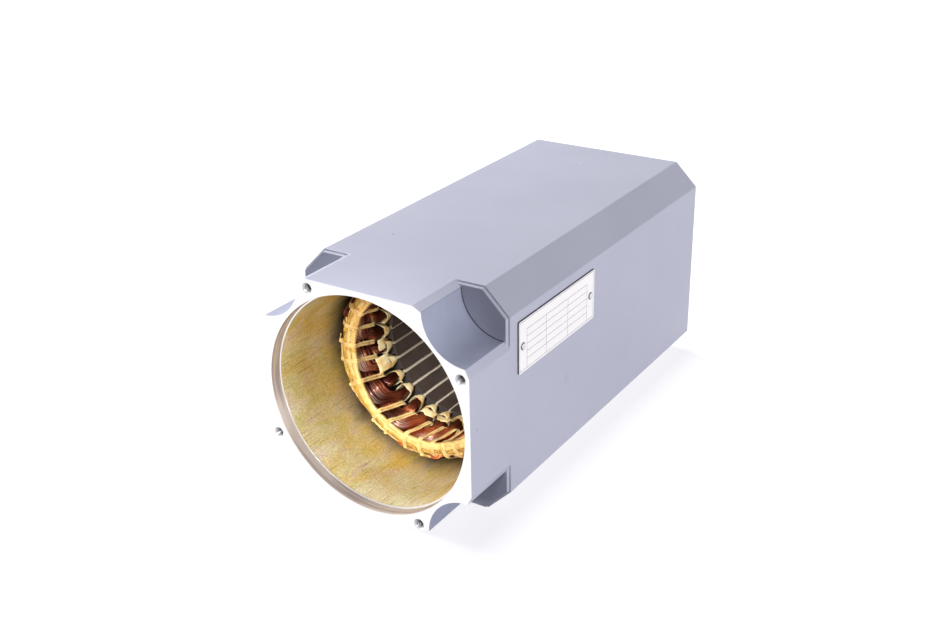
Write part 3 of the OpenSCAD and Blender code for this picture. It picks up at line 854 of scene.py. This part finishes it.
def end_rows(outer_top):
    """Rows along a coil end: lower edge (slots, radius, out), upper edge, form of the bundle."""
    outer_h = outer_top - TURN_LOW
    return [
        (SIDE, LEG_R, 0, -SIDE, LEG_R, 0, *LEG),
        (SIDE, LEG_R, CUFF_L, -SIDE, LEG_R, CUFF_L, *LEG),
        (SIDE, LEG_R, NECK_OUT, -SIDE, LEG_R, NECK_OUT, *LEG),
        (0.27, NECK_R, 0.82 * TURN_LOW, -0.24, NECK_R, 0.9 * TURN_LOW, *NECK),
        (0.45, OUTER_R - 1.9, TURN_LOW, -0.04, OUTER_R - 0.6, TURN_LOW + 0.24 * outer_h, *TURN),
        (0.75, OUTER_R, TURN_LOW, 0.28, OUTER_R, TURN_LOW + 0.72 * outer_h, *TURN),
        (1.05, OUTER_R, TURN_LOW, 0.85, OUTER_R, outer_top, *TURN),
        (1.32, OUTER_R - 0.6, TURN_LOW, 1.28, OUTER_R - 0.6, outer_top, *TURN),
        (1.6, CROSS_R, TURN_LOW + 1.75, 1.58, CROSS_R, TURN_TOP - 3, *TURN),
        (1.88, LOW_IN_R + 0.6, INNER_LOW, 1.86, TOP_IN_R + 0.6, TURN_TOP, *TURN),
        (2.2, LOW_IN_R, INNER_LOW, 2.25, TOP_IN_R, TURN_TOP, *TURN),
        (2.5, LOW_IN_R, INNER_LOW - 1.05, 2.66, TOP_IN_R, TURN_TOP - 2.7, *TURN),
        (2.64, LOW_IN_R, TURN_LOW, 2.98, INNER_R, TURN_LOW + 7.75, *TURN),
        (2.72, LEG_R, 0.86 * TURN_LOW, 3.2, LEG_R, TURN_LOW + 1.24, *NECK),
        (3 - SIDE, LEG_R, NECK_OUT, 3 + SIDE, LEG_R, NECK_OUT, *LEG),
        (3 - SIDE, LEG_R, CUFF_L, 3 + SIDE, LEG_R, CUFF_L, *LEG),
        (3 - SIDE, LEG_R, 0, 3 + SIDE, LEG_R, 0, *LEG),
    ]


def eased(a, b, c, d, t):
    """A smooth curve through four rows of numbers, between the middle two."""
    return [0.5 * (2 * q + (r - p) * t + (2 * p - 5 * q + 4 * r - s) * t * t
                   + (3 * q - p - 3 * r + s) * t ** 3) for p, q, r, s in zip(a, b, c, d)]


def stations(outer_top):
    rows = end_rows(outer_top)
    made = rows[:3]
    for i in range(3, len(rows) - 4):
        made += [eased(*rows[i - 1:i + 3], t) for t in (0, 1 / 3, 2 / 3)]
    return made + rows[-4:]


print("stations along one coil end:", len(stations(LOW_RIM)))

# %% Sections of the bundle along the whole loop
NECK_FAT_AT, NECK_FAT_SPAN = 12.0, 3.5   # out of the slots the wires spread into a fat neck


def loop_sections(outer_top):
    """Middle, across, upwards, and the form of the bundle at each station of the closed loop."""
    rows = stations(outer_top)
    walk = [(row, False) for row in rows] + [(row, True) for row in reversed(rows)]
    lows = [spot(*row[0:3], rear) for row, rear in walk]
    highs = [spot(*row[3:6], rear) for row, rear in walk]
    mids = [(a + b) / 2 for a, b in zip(lows, highs)]
    made = []
    for i, (row, _) in enumerate(walk):
        half = (highs[i] - lows[i]) / 2
        run = mids[(i + 1) % len(mids)] - mids[i - 1]
        out = Vector((mids[i].x, 0, mids[i].z - AXIS_Z)) if row[8] > 0 else run.cross(half)
        level = (row[2] + row[5]) / 2
        fat = math.exp(-((level - NECK_FAT_AT) / NECK_FAT_SPAN) ** 2)
        made.append((mids[i], out.normalized(), half.normalized(), half.length * (1 + 0.45 * fat),
                     row[6] * MM * (1 + 0.12 * fat), row[7], row[8]))
    return made


def on_section(section, share, sink):
    """The point a share of the way round a bundle's section, sunk below its surface."""
    middle, out, up, high, thick, square, widen = section
    corners = [(1, -square), (1, square), (square, 1), (-square, 1),
               (-1, square), (-1, -square), (-square, -1), (square, -1)]
    flat = [Vector((c * (thick - sink), d * (high + widen * c * thick) * (1 - sink / high)))
            for c, d in corners]
    sides = [(flat[(i + 1) % 8] - flat[i]).length for i in range(8)]
    left = share % 1 * sum(sides)
    for i, side in enumerate(sides):
        if left <= side:
            break
        left -= side
    at = flat[i] + (flat[(i + 1) % 8] - flat[i]) * (left / side)
    return middle + out * at.x + up * at.y


print("sections round one coil:", len(loop_sections(LOW_RIM)))

# %% One wound coil
WIRES = 44
WIRE_MM = 1.05
LOOSE = 4          # wires that slant over the others
SWAY = 6.28        # radians in one sway of a wire
FILLER_IN = 0.75   # how far the filler lies below the CAD bundle's surface


def set_tone(mesh, values):
    layer = mesh.attributes.new("tone", "FLOAT", "POINT")
    layer.data.foreach_set("value", values)


def wound_coil(seed, outer_top):
    draw = random.Random(seed)
    sections = loop_sections(outer_top)
    curve = bpy.data.curves.new("wires", "CURVE")
    curve.dimensions = "3D"
    curve.bevel_depth = WIRE_MM / 2 * MM
    curve.bevel_resolution = 1
    tones = []
    for k in range(WIRES):
        phase = [draw.random() for _ in range(3)]
        loose = k >= WIRES - LOOSE
        sink = WIRE_MM / 2 * MM + (-0.15 if loose else draw.uniform(0, 0.4)) * MM
        spline = curve.splines.new("POLY")
        spline.points.add(len(sections) - 1)
        spline.use_cyclic_u = True
        for i, (point, section) in enumerate(zip(spline.points, sections)):
            along = i / len(sections)
            # strays are shares of the way round the bundle
            stray = 0.006 * math.sin(SWAY * (2 * along + phase[0]))
            stray += 0.004 * math.sin(SWAY * (7 * along + phase[1]))
            if loose:
                stray += 0.12 * math.sin(SWAY * (2 * along + phase[2]))
            point.co = (*on_section(section, k / (WIRES - LOOSE) + stray, sink), 1)
        tones.append(draw.uniform(0.7, 1) if loose or draw.random() < 0.25 else draw.uniform(0, 0.45))
    wires = bpy.data.objects.new("wires", curve)
    bpy.context.scene.collection.objects.link(wires)
    pick(wires)
    bpy.ops.object.convert(target="MESH")
    wires = bpy.context.object
    each = len(wires.data.vertices) // WIRES
    set_tone(wires.data, [tones[min(i // each, WIRES - 1)] for i in range(len(wires.data.vertices))])
    return wires


def coil_filler():
    filler = bare_copy("coil_01")
    close_up(filler, smooth=60)
    bpy.ops.object.mode_set(mode="EDIT")
    bpy.ops.mesh.select_all(action="SELECT")
    bpy.ops.transform.shrink_fatten(value=-FILLER_IN * MM)
    bpy.ops.object.mode_set(mode="OBJECT")
    # the filler takes the darkest tone, as painted shade in the gaps between the wires
    set_tone(filler.data, [0.0] * len(filler.data.vertices))
    return filler


# %% Fifteen coils from four windings
COILS = 15
HIGH_COILS = (5, 6, 10, 11, 12, 13)   # under the parts of the crest where the rim is bare
windings = []
for seed, rim in ((1, LOW_RIM), (2, LOW_RIM), (3, LOW_RIM), (4, HIGH_RIM)):
    made = joined("winding", [wound_coil(seed, rim), coil_filler()])
    made.data.materials.append(copper)
    bpy.ops.object.shade_smooth()
    windings.append(made)
for i in range(COILS):
    coil = twin(windings[3 if i in HIGH_COILS else i % 3], turned(2 * i * PITCH))
    coil.name = coil.data.name = f"coil_{i + 1:02d}_wires"
    hand_over(coil, "winding_copper", f"coil_{i + 1:02d}")
for made in windings:
    bpy.data.objects.remove(made)

# %% [markdown]
# ## Phase papers
# Between crossing coils the winder slips small sheets of paper. Their edges are torn and soaked
# with varnish, and they peep out between the copper and the cuffs. Each is a small grid, bent
# along the coil, with its free edges pulled about at random.

# %% Papers at both ends
SHEETS = 15
TORN_MM = 0.25     # thickness of a sheet
# radius and distance out of the core, from the core outwards
PAPER_PATH = [(54.4, 5.0), (53.4, 8.0), (53.4, 11.0), (53.9, 14.0), (54.5, 16.5), (55.6, 18.5)]
# where the photograph shows a sheet between two ties: slots round, width in slots, share of the path
SHOWN_SHEETS = {7: (15.7, 0.75, 0.6), 8: (16.85, 0.95, 1.0), 9: (18.3, 0.45, 0.12),
                10: (21.1, 0.95, 0.55), 11: (22.2, 0.8, 0.5)}


def phase_paper(k, rear):
    draw = random.Random(400 + k + 50 * rear)
    centre, wide, tall = SHOWN_SHEETS.get(k, (2 * k + 0.3, 0.5, draw.uniform(0.3, 0.45)))
    ragged = [[draw.uniform(-0.06, 0.06)] for _ in range(8)]

    def place(u, v):
        radius, out = between(PAPER_PATH, max(0, min(1, v * (tall + between(ragged, u)[0]))))
        dish = 0.2 * (2 * u - 1) ** 2 + 0.12 * math.sin(5 * u + 3 * v)
        turn = centre + (u - 0.5) * (wide + 0.5 * between(ragged, v)[0])
        return spot(turn, radius + dish, out, rear)

    return shaped_grid("paper", 10, 10, place)


for rear, node in ((False, "front_phase_papers"), (True, "rear_phase_papers")):
    sheets = close_up(joined(node + "_torn", [phase_paper(k, rear) for k in range(SHEETS)]), smooth=60)
    thicken(sheets, TORN_MM)
    sheets.data.materials.append(paper)
    hand_over(sheets, "slot_paper", node)

# %% [markdown]
# ## Sleeved leads on the crest
# The coils are joined by leads in glass-fibre sleeving, laid side by side round the crest of the
# winding. Pulled down by the lacing and free in between, they bulge from loop to loop, and their
# ends dive between the coils. Each is a grid rolled into a soft, flattened tube.

# %% Varnished glass-fibre sleeving
BRAID_MM = 1.4     # repeat of the braid, drawn coarser than real so that it shows
DRIP_MM = 8        # width of a patch where varnish dripped
PIT_MM = 2.4       # width of a pit
sleeving, tree, shader, coords = start("varnished_glass_sleeving", Roughness=0.4, Coat_Weight=0.25)
wet = put(tree, "TexNoise", {},
          {"Vector": coords, "Scale": 1 / (DRIP_MM * MM), "Detail": 5, "Distortion": 0.5})
soak = put(tree, "MapRange", {}, {"Value": wet, "From Min": 0.42, "From Max": 0.66})
tone = put(tree, "Mix", RGBA, {0: soak, 6: colour("e9c983"), 7: colour("cf9f50")})
# the outer leads lie where the varnish dripped from, and are a darker yellow
outer = put(tree, "MapRange", {},
            {"Value": off_axis(tree, coords), "From Min": 0.0585, "From Max": 0.0615})
tone = put(tree, "Mix", TINT, {0: outer, 6: tone, 7: colour("e6d8a4")})
# small dark pits, partly dark marks on the sleeving and partly painted shade of the gaps between
# wraps, most of them on the outer leads
pits_and_gap_shade = put(tree, "TexNoise", {},
          {"Vector": coords, "Scale": 1 / (PIT_MM * MM), "Detail": 2, "Distortion": 1.5})
pits_and_gap_shade = put(tree, "Math", {"operation": "MULTIPLY_ADD"}, {0: outer, 1: 0.07, 2: pits_and_gap_shade})
pits_and_gap_shade = put(tree, "MapRange", {}, {"Value": pits_and_gap_shade, "From Min": 0.64, "From Max": 0.72})
tone = put(tree, "Mix", RGBA, {0: pits_and_gap_shade, 6: tone, 7: colour("6d4820")})
# painted shade: dark seams between the leads, low on the side of each
lift = put(tree, "Attribute", {"attribute_name": "lift"})
seam_shade = put(tree, "MapRange", {},
           {"Value": lift.outputs["Fac"], "From Min": 0.8, "From Max": 0.45, "To Max": 0.6})
tone = put(tree, "Mix", RGBA, {0: seam_shade, 6: tone, 7: colour("8a6230")})
braid = put(tree, "TexVoronoi", {}, {"Vector": coords, "Scale": 1 / (BRAID_MM * MM)})
bump = put(tree, "Bump", {}, {"Height": braid, "Strength": 0.25, "Distance": 0.2 * MM})
plug(tree, shader, {"Base Color": tone, "Normal": bump})

# %% Leads at both ends
# radius and distance out of the core of each lead
LEAD_SPOTS = [(56.1, 37.9), (59.6, 38.4), (63.0, 37.5)]
LEAD_START, LEAD_SWEEP, LEAD_STAGGER = 96, 318, 10     # degrees: first start, run, and next start
LEAD_WIDE, LEAD_HIGH = 2.2, 1.5                        # half sizes of the flattened tube
BARE_RIM = (12.0, 24.5)    # slots round, where copper shows outside the leads
BARE_CREST = 19.6          # and where it shows inside them


def lead(index, rear):
    draw = random.Random(70 + index + 10 * rear)
    phase = [draw.random() for _ in range(4)]
    radius, out = LEAD_SPOTS[index]
    lifts = []

    def place(u, v):
        turn = (LEAD_START + index * LEAD_STAGGER + u * LEAD_SWEEP) / math.degrees(PITCH)
        swell = 0.5 + 0.5 * math.cos(math.tau * turn)
        sway = math.sin(math.tau * (turn / 5.3 + phase[0])) + math.sin(math.tau * (turn / 2.1 + phase[1]))
        lump = 0.1 * math.sin(math.tau * (turn / 0.83 + phase[2]))
        lump = 1 + lump * math.sin(math.tau * (turn / 1.9 + phase[3])) + 0.08 * swell
        dive = max(0, 1 - min(u, 1 - u) / 0.035) ** 2
        size = 0 if u in (0, 1) else lump
        angle = math.tau * v
        drawn_in = sum(math.exp(-((turn - bare) / 2) ** 2) for bare in BARE_RIM)
        pushed_out = (2 - index) * math.exp(-((turn - BARE_CREST) / 2.6) ** 2)
        r = radius + 0.18 * sway + (index - 1) * 0.3 * swell + 1.5 * pushed_out
        r += LEAD_WIDE * size * math.cos(angle) - (0.4 + 1.2 * index) * drawn_in
        w = out + 0.4 * swell + 0.12 * sway - 7 * dive + LEAD_HIGH * size * math.sin(angle)
        lifts.append(math.sin(angle))
        return spot(turn, r, w, rear)

    tube = shaped_grid("lead", 216, 10, place)
    tube.data.attributes.new("lift", "FLOAT", "POINT").data.foreach_set("value", lifts)
    return tube


for rear, node in ((False, "front_leads"), (True, "rear_leads")):
    leads = close_up(joined(node + "_sleeved", [lead(i, rear) for i in range(3)]), smooth=70)
    leads.data.materials.append(sleeving)
    hand_over(leads, "lead_sleeve", node)

# %% [markdown]
# ## Lacing
# The end winding is tied with flat polyester tape, two strands side by side in each loop, one loop
# between every two slots. The winder pulls each loop tight, knots it on the outer edge of the
# crest and goes on to the next, which leaves a stitch along the rim and a few loose tails. Each
# strand is a grid rolled into a flat tube along the loop. Nine loops are modelled and copied in a
# mixed order, so that the ring doesn't look stamped.

# %% Lacing tape
WEAVE_MM = 0.5     # repeat of the weave
DAMP_MM = 5        # width of a patch that took up varnish
tape, tree, shader, coords = start("polyester_lacing_tape", Roughness=0.55, Sheen_Weight=0.15)
wet = put(tree, "TexNoise", {}, {"Vector": coords, "Scale": 1 / (DAMP_MM * MM), "Detail": 4})
soak = put(tree, "MapRange", {}, {"Value": wet, "From Min": 0.45, "From Max": 0.7})
tone = put(tree, "Mix", RGBA, {0: soak, 6: colour("ecca84"), 7: colour("c4934a")})
weave = put(tree, "TexNoise", {}, {"Vector": coords, "Scale": 1 / (WEAVE_MM * MM), "Detail": 2})
bump = put(tree, "Bump", {}, {"Height": weave, "Strength": 0.3, "Distance": 0.1 * MM})
plug(tree, shader, {"Base Color": tone, "Normal": bump})

# %% One tied loop
# once round the end winding, as radius and distance out of the core
LOOP = [(69.0, 14.6), (69.05, 22.0), (68.8, 29.6), (67.0, 34.6), (65.9, 37.4), (63.9, 39.4), (60.0, 40.6),
        (56.2, 40.3), (54.2, 39.0), (53.9, 36.5), (54.6, 32.0), (54.4, 26.0), (54.1, 19.6), (54.7, 16.6),
        (58.5, 15.2), (63.0, 13.5), (67.6, 13.2)]
TAPE_WIDE, TAPE_HIGH = 0.74, 0.32     # half sizes of a strand
STRAND_OFF = 0.82                     # from the middle of the loop to each strand


def on_loop(share):
    step = share % 1 * len(LOOP)
    i = int(step)
    return Vector(eased(*(LOOP[(i + k) % len(LOOP)] for k in (-1, 0, 1, 2)), step - i))


def tape_loop(side, slant):
    """One closed strand of tape beside the loop's middle, side in mm, slanting over the copper."""
    def place(u, v):
        at, ahead = on_loop(u), on_loop(u + 0.004)
        run = (ahead - at).normalized()
        angle = math.tau * v
        level = TAPE_HIGH * math.copysign(abs(math.sin(angle)) ** 0.7, math.sin(angle))
        inner = max(0, min(1, (62 - at.x) / 5))
        shift = side + slant * inner * (38 - at.y) / 22 + TAPE_WIDE * math.cos(angle)
        r, w = at.x + run.y * level, at.y - run.x * level
        return spot(0.5 + shift / r / PITCH, r, w)

    return shaped_grid("strand", 48, 8, place)


def cord(points, thick):
    """A short round cord through points given as slots round, radius and distance out."""
    def place(u, v):
        step = min(len(points) - 1.0001, u * (len(points) - 1))
        i = int(step)
        ends = [points[max(0, min(len(points) - 1, i + k))] for k in (-1, 0, 1, 2)]
        turn, r, w = eased(*ends, step - i)
        size = 0 if u in (0, 1) else thick
        return spot(turn + size * math.cos(math.tau * v) * 0.7 / r / PITCH,
                    r + size * math.cos(math.tau * v) * 0.7, w + size * math.sin(math.tau * v))

    return shaped_grid("cord", 10, 6, place)


def knot(turn, r, w):
    bpy.ops.object.select_all(action="DESELECT")
    bpy.ops.mesh.primitive_uv_sphere_add(segments=10, ring_count=6, radius=1.5 * MM)
    made = bpy.context.object
    for point in made.data.vertices:
        twist = 1 + 0.25 * math.sin(5 * math.atan2(point.co.y, point.co.x) + 900 * point.co.z)
        point.co = Vector((point.co.x * 1.25 * twist, point.co.y * 0.8, point.co.z * twist))
    made.data.transform(Matrix.Translation(spot(turn, r, w)) @ Matrix.Rotation(-turn * PITCH, 4, "Y"))
    return made


def tied_loop(seed, rim):
    draw = random.Random(seed)
    slant = draw.uniform(4.0, 6.0)
    parts = [tape_loop(-STRAND_OFF, slant), tape_loop(STRAND_OFF, slant + draw.uniform(-0.3, 0.3))]
    parts.append(knot(0.5 + draw.uniform(-0.08, 0.08), rim, 38.3))
    stitch = [(0.45, rim, 37.6), (0.8, rim + 0.1, 37.9), (1.2, rim, 37.8), (1.55, rim - 0.1, 37.4)]
    parts.append(cord(stitch, 0.6))
    for _ in range(draw.choice([1, 2, 2])):
        away = draw.uniform(-0.3, 0.3)
        parts.append(cord([(0.5, rim, 38.2), (0.5 + away, rim + 0.7, 38.6 + draw.uniform(-0.4, 0.4)),
                           (0.5 + 1.6 * away, rim + 1.3, 37.6 + draw.uniform(-0.6, 0.6)),
                           (0.5 + 2 * away, rim + 2, 36.2 + draw.uniform(-1, 1))], 0.5))
    return close_up(joined("tied_loop", parts), smooth=50)


print("points round a loop:", len(LOOP))

# %% Thirty loops at each end
# the ties that the photograph shows off their even places, in slots, and one that the winder left out
TIE_SHIFT = {13: 0.15, 14: 0.3, 15: 0.28, 16: 0.55, 18: 0.65, 19: 0.5,
             20: 0.8, 21: 0.75, 22: 0.6, 23: 0.4, 24: 0.2}
MISSED_TIE = 17
KNOT_R, BARE_KNOT_R = 65.9, 63.0     # knots lie further in where the rim is bare
BARE_SLOTS = 2.2                     # how far from its middle, in slots, the rim counts as bare
tied = [tied_loop(seed, KNOT_R) for seed in range(20, 26)]
bare = [tied_loop(seed, BARE_KNOT_R) for seed in range(26, 29)]
print("loops to copy:", len(tied) + len(bare))
order = random.Random(9)
mirror = Matrix.Translation((0, CORE_FRONT + CORE_REAR, 0)) @ Matrix.Diagonal((1, -1, 1, 1))
for rear, node in ((False, "front_lacing"), (True, "rear_lacing")):
    loops = []
    for k in range(SLOTS):
        tie = order.choice(bare if any(abs(k + 0.5 - rim) < BARE_SLOTS for rim in BARE_RIM) else tied)
        place = turned((k + (0 if rear else TIE_SHIFT.get(k, 0))) * PITCH)
        if rear or k != MISSED_TIE:
            loops.append(twin(tie, mirror @ place if rear else place))
    lacing = close_up(joined(node + "_tied", loops), smooth=50)
    lacing.data.materials.append(tape)
    hand_over(lacing, "lacing_tape", node)
for made in tied + bare:
    bpy.data.objects.remove(made)

# %% [markdown]
# ## Nameplate
# A thin printed foil sits on the right side. It stays blank here, apart from the empty ruled fields
# that such a plate has, and dirt has drawn a dark line along its upper and front edges. A cube is
# scaled to the CAD's plate, its corners are rounded with a bevel, and the rules are thin strips
# cut out of its face with insets and bisects.

# %% Printed foil, ink and grime
# roughness, width of a patch of tone in mm, detail, and the two tones
PLATE_FINISHES = {"printed_polyester_foil": (0.35, 12, 4, "f6f2f5", "fdfafb"),
                  "printed_grey_ink": (0.5, 3, 3, "4a4a55", "8e8e98"),
                  "grime_on_plate_edge": (0.7, 4, 4, "1c1c26", "50505e")}
plate_finishes = []
for name, (rough, wide, detail, dark, pale) in PLATE_FINISHES.items():
    finish, tree, shader, coords = start(name, Roughness=rough)
    mottle = put(tree, "TexNoise", {}, {"Vector": coords, "Scale": 1 / (wide * MM), "Detail": detail})
    tone = put(tree, "Mix", RGBA, {0: mottle, 6: colour(dark), 7: colour(pale)})
    plug(tree, shader, {"Base Color": tone})
    plate_finishes.append(finish)
FOIL, INK, GRIME = range(len(plate_finishes))

# %% Plate with empty ruled fields
# heights of the rules above the lower edge, and places of the posts behind the front edge
RULES_MM = (7.5, 12.5, 17.5, 22.5, 27.5)
POSTS_MM = (10.0, 34.0, 62.0, 88.2)
RULE_MM, CORNER_MM = 0.3, 1.5      # width of a printed line, and radius of the plate's corners
FRAME_MM, GRIME_MM = 1.3, 0.55     # from the plate's edge to the printed frame, and width of the dirt
plate_low, plate_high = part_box("nameplate")
bpy.ops.object.select_all(action="DESELECT")
bpy.ops.mesh.primitive_cube_add(size=1)
plate = bpy.context.object
plate.name = plate.data.name = "nameplate_foil_plate"
size = plate_high - plate_low
plate.data.transform(Matrix.Translation((plate_low + plate_high) / 2) @ Matrix.Diagonal((*size, 1)))
bpy.context.tool_settings.mesh_select_mode = (False, True, False)
for each in (*plate.data.vertices, *plate.data.polygons):
    each.select = False
for edge in plate.data.edges:
    a, b = (plate.data.vertices[i].co for i in edge.vertices)
    edge.select = abs(a.x - b.x) > 0.5 * size.x
bpy.ops.object.mode_set(mode="EDIT")
bpy.ops.mesh.bevel(offset=CORNER_MM * MM, segments=4)
bpy.ops.object.mode_set(mode="OBJECT")
bpy.context.tool_settings.mesh_select_mode = (False, False, True)
for face in plate.data.polygons:
    face.select = face.normal.x > 0.9
bpy.ops.object.mode_set(mode="EDIT")
bpy.ops.mesh.inset(thickness=GRIME_MM * MM)
bpy.ops.mesh.inset(thickness=(FRAME_MM - GRIME_MM) * MM)
bpy.ops.mesh.inset(thickness=RULE_MM * MM)
for rule in RULES_MM:
    for edge_z in (rule, rule + RULE_MM):
        bpy.ops.mesh.bisect(plane_co=(0, 0, plate_low.z + edge_z * MM), plane_no=(0, 0, 1))
        bpy.ops.mesh.select_all(action="SELECT")
for post in POSTS_MM:
    for edge_y in (post, post + RULE_MM):
        bpy.ops.mesh.bisect(plane_co=(0, plate_low.y + edge_y * MM, 0), plane_no=(0, 1, 0))
        bpy.ops.mesh.select_all(action="SELECT")
bpy.ops.object.mode_set(mode="OBJECT")
bpy.context.tool_settings.mesh_select_mode = (True, False, False)
for finish in plate_finishes:
    plate.data.materials.append(finish)
for face in plate.data.polygons:
    face.material_index = FOIL
    y, z = (face.center.y - plate_low.y) / MM, (face.center.z - plate_low.z) / MM
    inside = min(y, size.y / MM - y, z, size.z / MM - z)
    in_fields = POSTS_MM[0] < y < POSTS_MM[-1] + RULE_MM
    ruled = in_fields and inside > FRAME_MM + RULE_MM and (
        any(rule < z < rule + RULE_MM for rule in RULES_MM)
        or z < RULES_MM[-1] and any(post < y < post + RULE_MM for post in POSTS_MM))
    framed = FRAME_MM < inside < FRAME_MM + RULE_MM
    if face.normal.x > 0.9 and (ruled or framed):
        face.material_index = INK
    elif face.normal.x > -0.5 and inside < GRIME_MM and (z > size.z / MM - GRIME_MM or y < GRIME_MM):
        face.material_index = GRIME
hand_over(plate, "nameplate_foil", "nameplate")

# %% [markdown]
# ## Drive pins
# A pin at each end holds the plate, knocked into a drilled hole. Only its head shows: a flat crown
# coloured bright, with a rounded shoulder coloured dark. A sphere is squared off along the plate's
# normal, and the height over the plate tells the crown from the shoulder.

# %% Drive pins of the plate
PIN_MM, PIN_HIGH, PIN_IN = 5.2, 0.9, 5.4     # head width, its height, and distance from the plate's end
DENT_MM = 1.6      # width of a dent
pin_metal, tree, shader, coords = start("driven_aluminium_pin", Metallic=1.0, Roughness=0.3)
dents = put(tree, "TexNoise", {}, {"Vector": coords, "Scale": 1 / (DENT_MM * MM), "Detail": 3})
tone = put(tree, "Mix", RGBA, {0: dents, 6: colour("b4b4bb"), 7: colour("f6f6f8")})
split = put(tree, "SeparateXYZ", {}, {"Vector": coords})
crown = put(tree, "MapRange", {},
            {"Value": split.outputs["X"], "From Min": plate_high.x + 0.5 * PIN_HIGH * MM,
             "From Max": plate_high.x + 0.9 * PIN_HIGH * MM})
tone = put(tree, "Mix", RGBA, {0: crown, 6: colour("34343c"), 7: tone})
plug(tree, shader, {"Base Color": tone})
pins = []
for along in (plate_low.y + PIN_IN * MM, plate_high.y - PIN_IN * MM):
    bpy.ops.object.select_all(action="DESELECT")
    bpy.ops.mesh.primitive_uv_sphere_add(segments=24, ring_count=12, radius=1)
    pin = bpy.context.object
    for point in pin.data.vertices:
        rise = math.copysign(abs(point.co.z) ** 0.6, point.co.z)
        point.co = (PIN_HIGH * MM * rise, PIN_MM / 2 * MM * point.co.x, PIN_MM / 2 * MM * point.co.y)
    pin.data.transform(Matrix.Translation((plate_high.x, along, (plate_low.z + plate_high.z) / 2)))
    pins.append(pin)
pins = close_up(joined("nameplate_drive_pins", pins), smooth=60)
pins.data.materials.append(pin_metal)
hand_over(pins, "nameplate_foil")
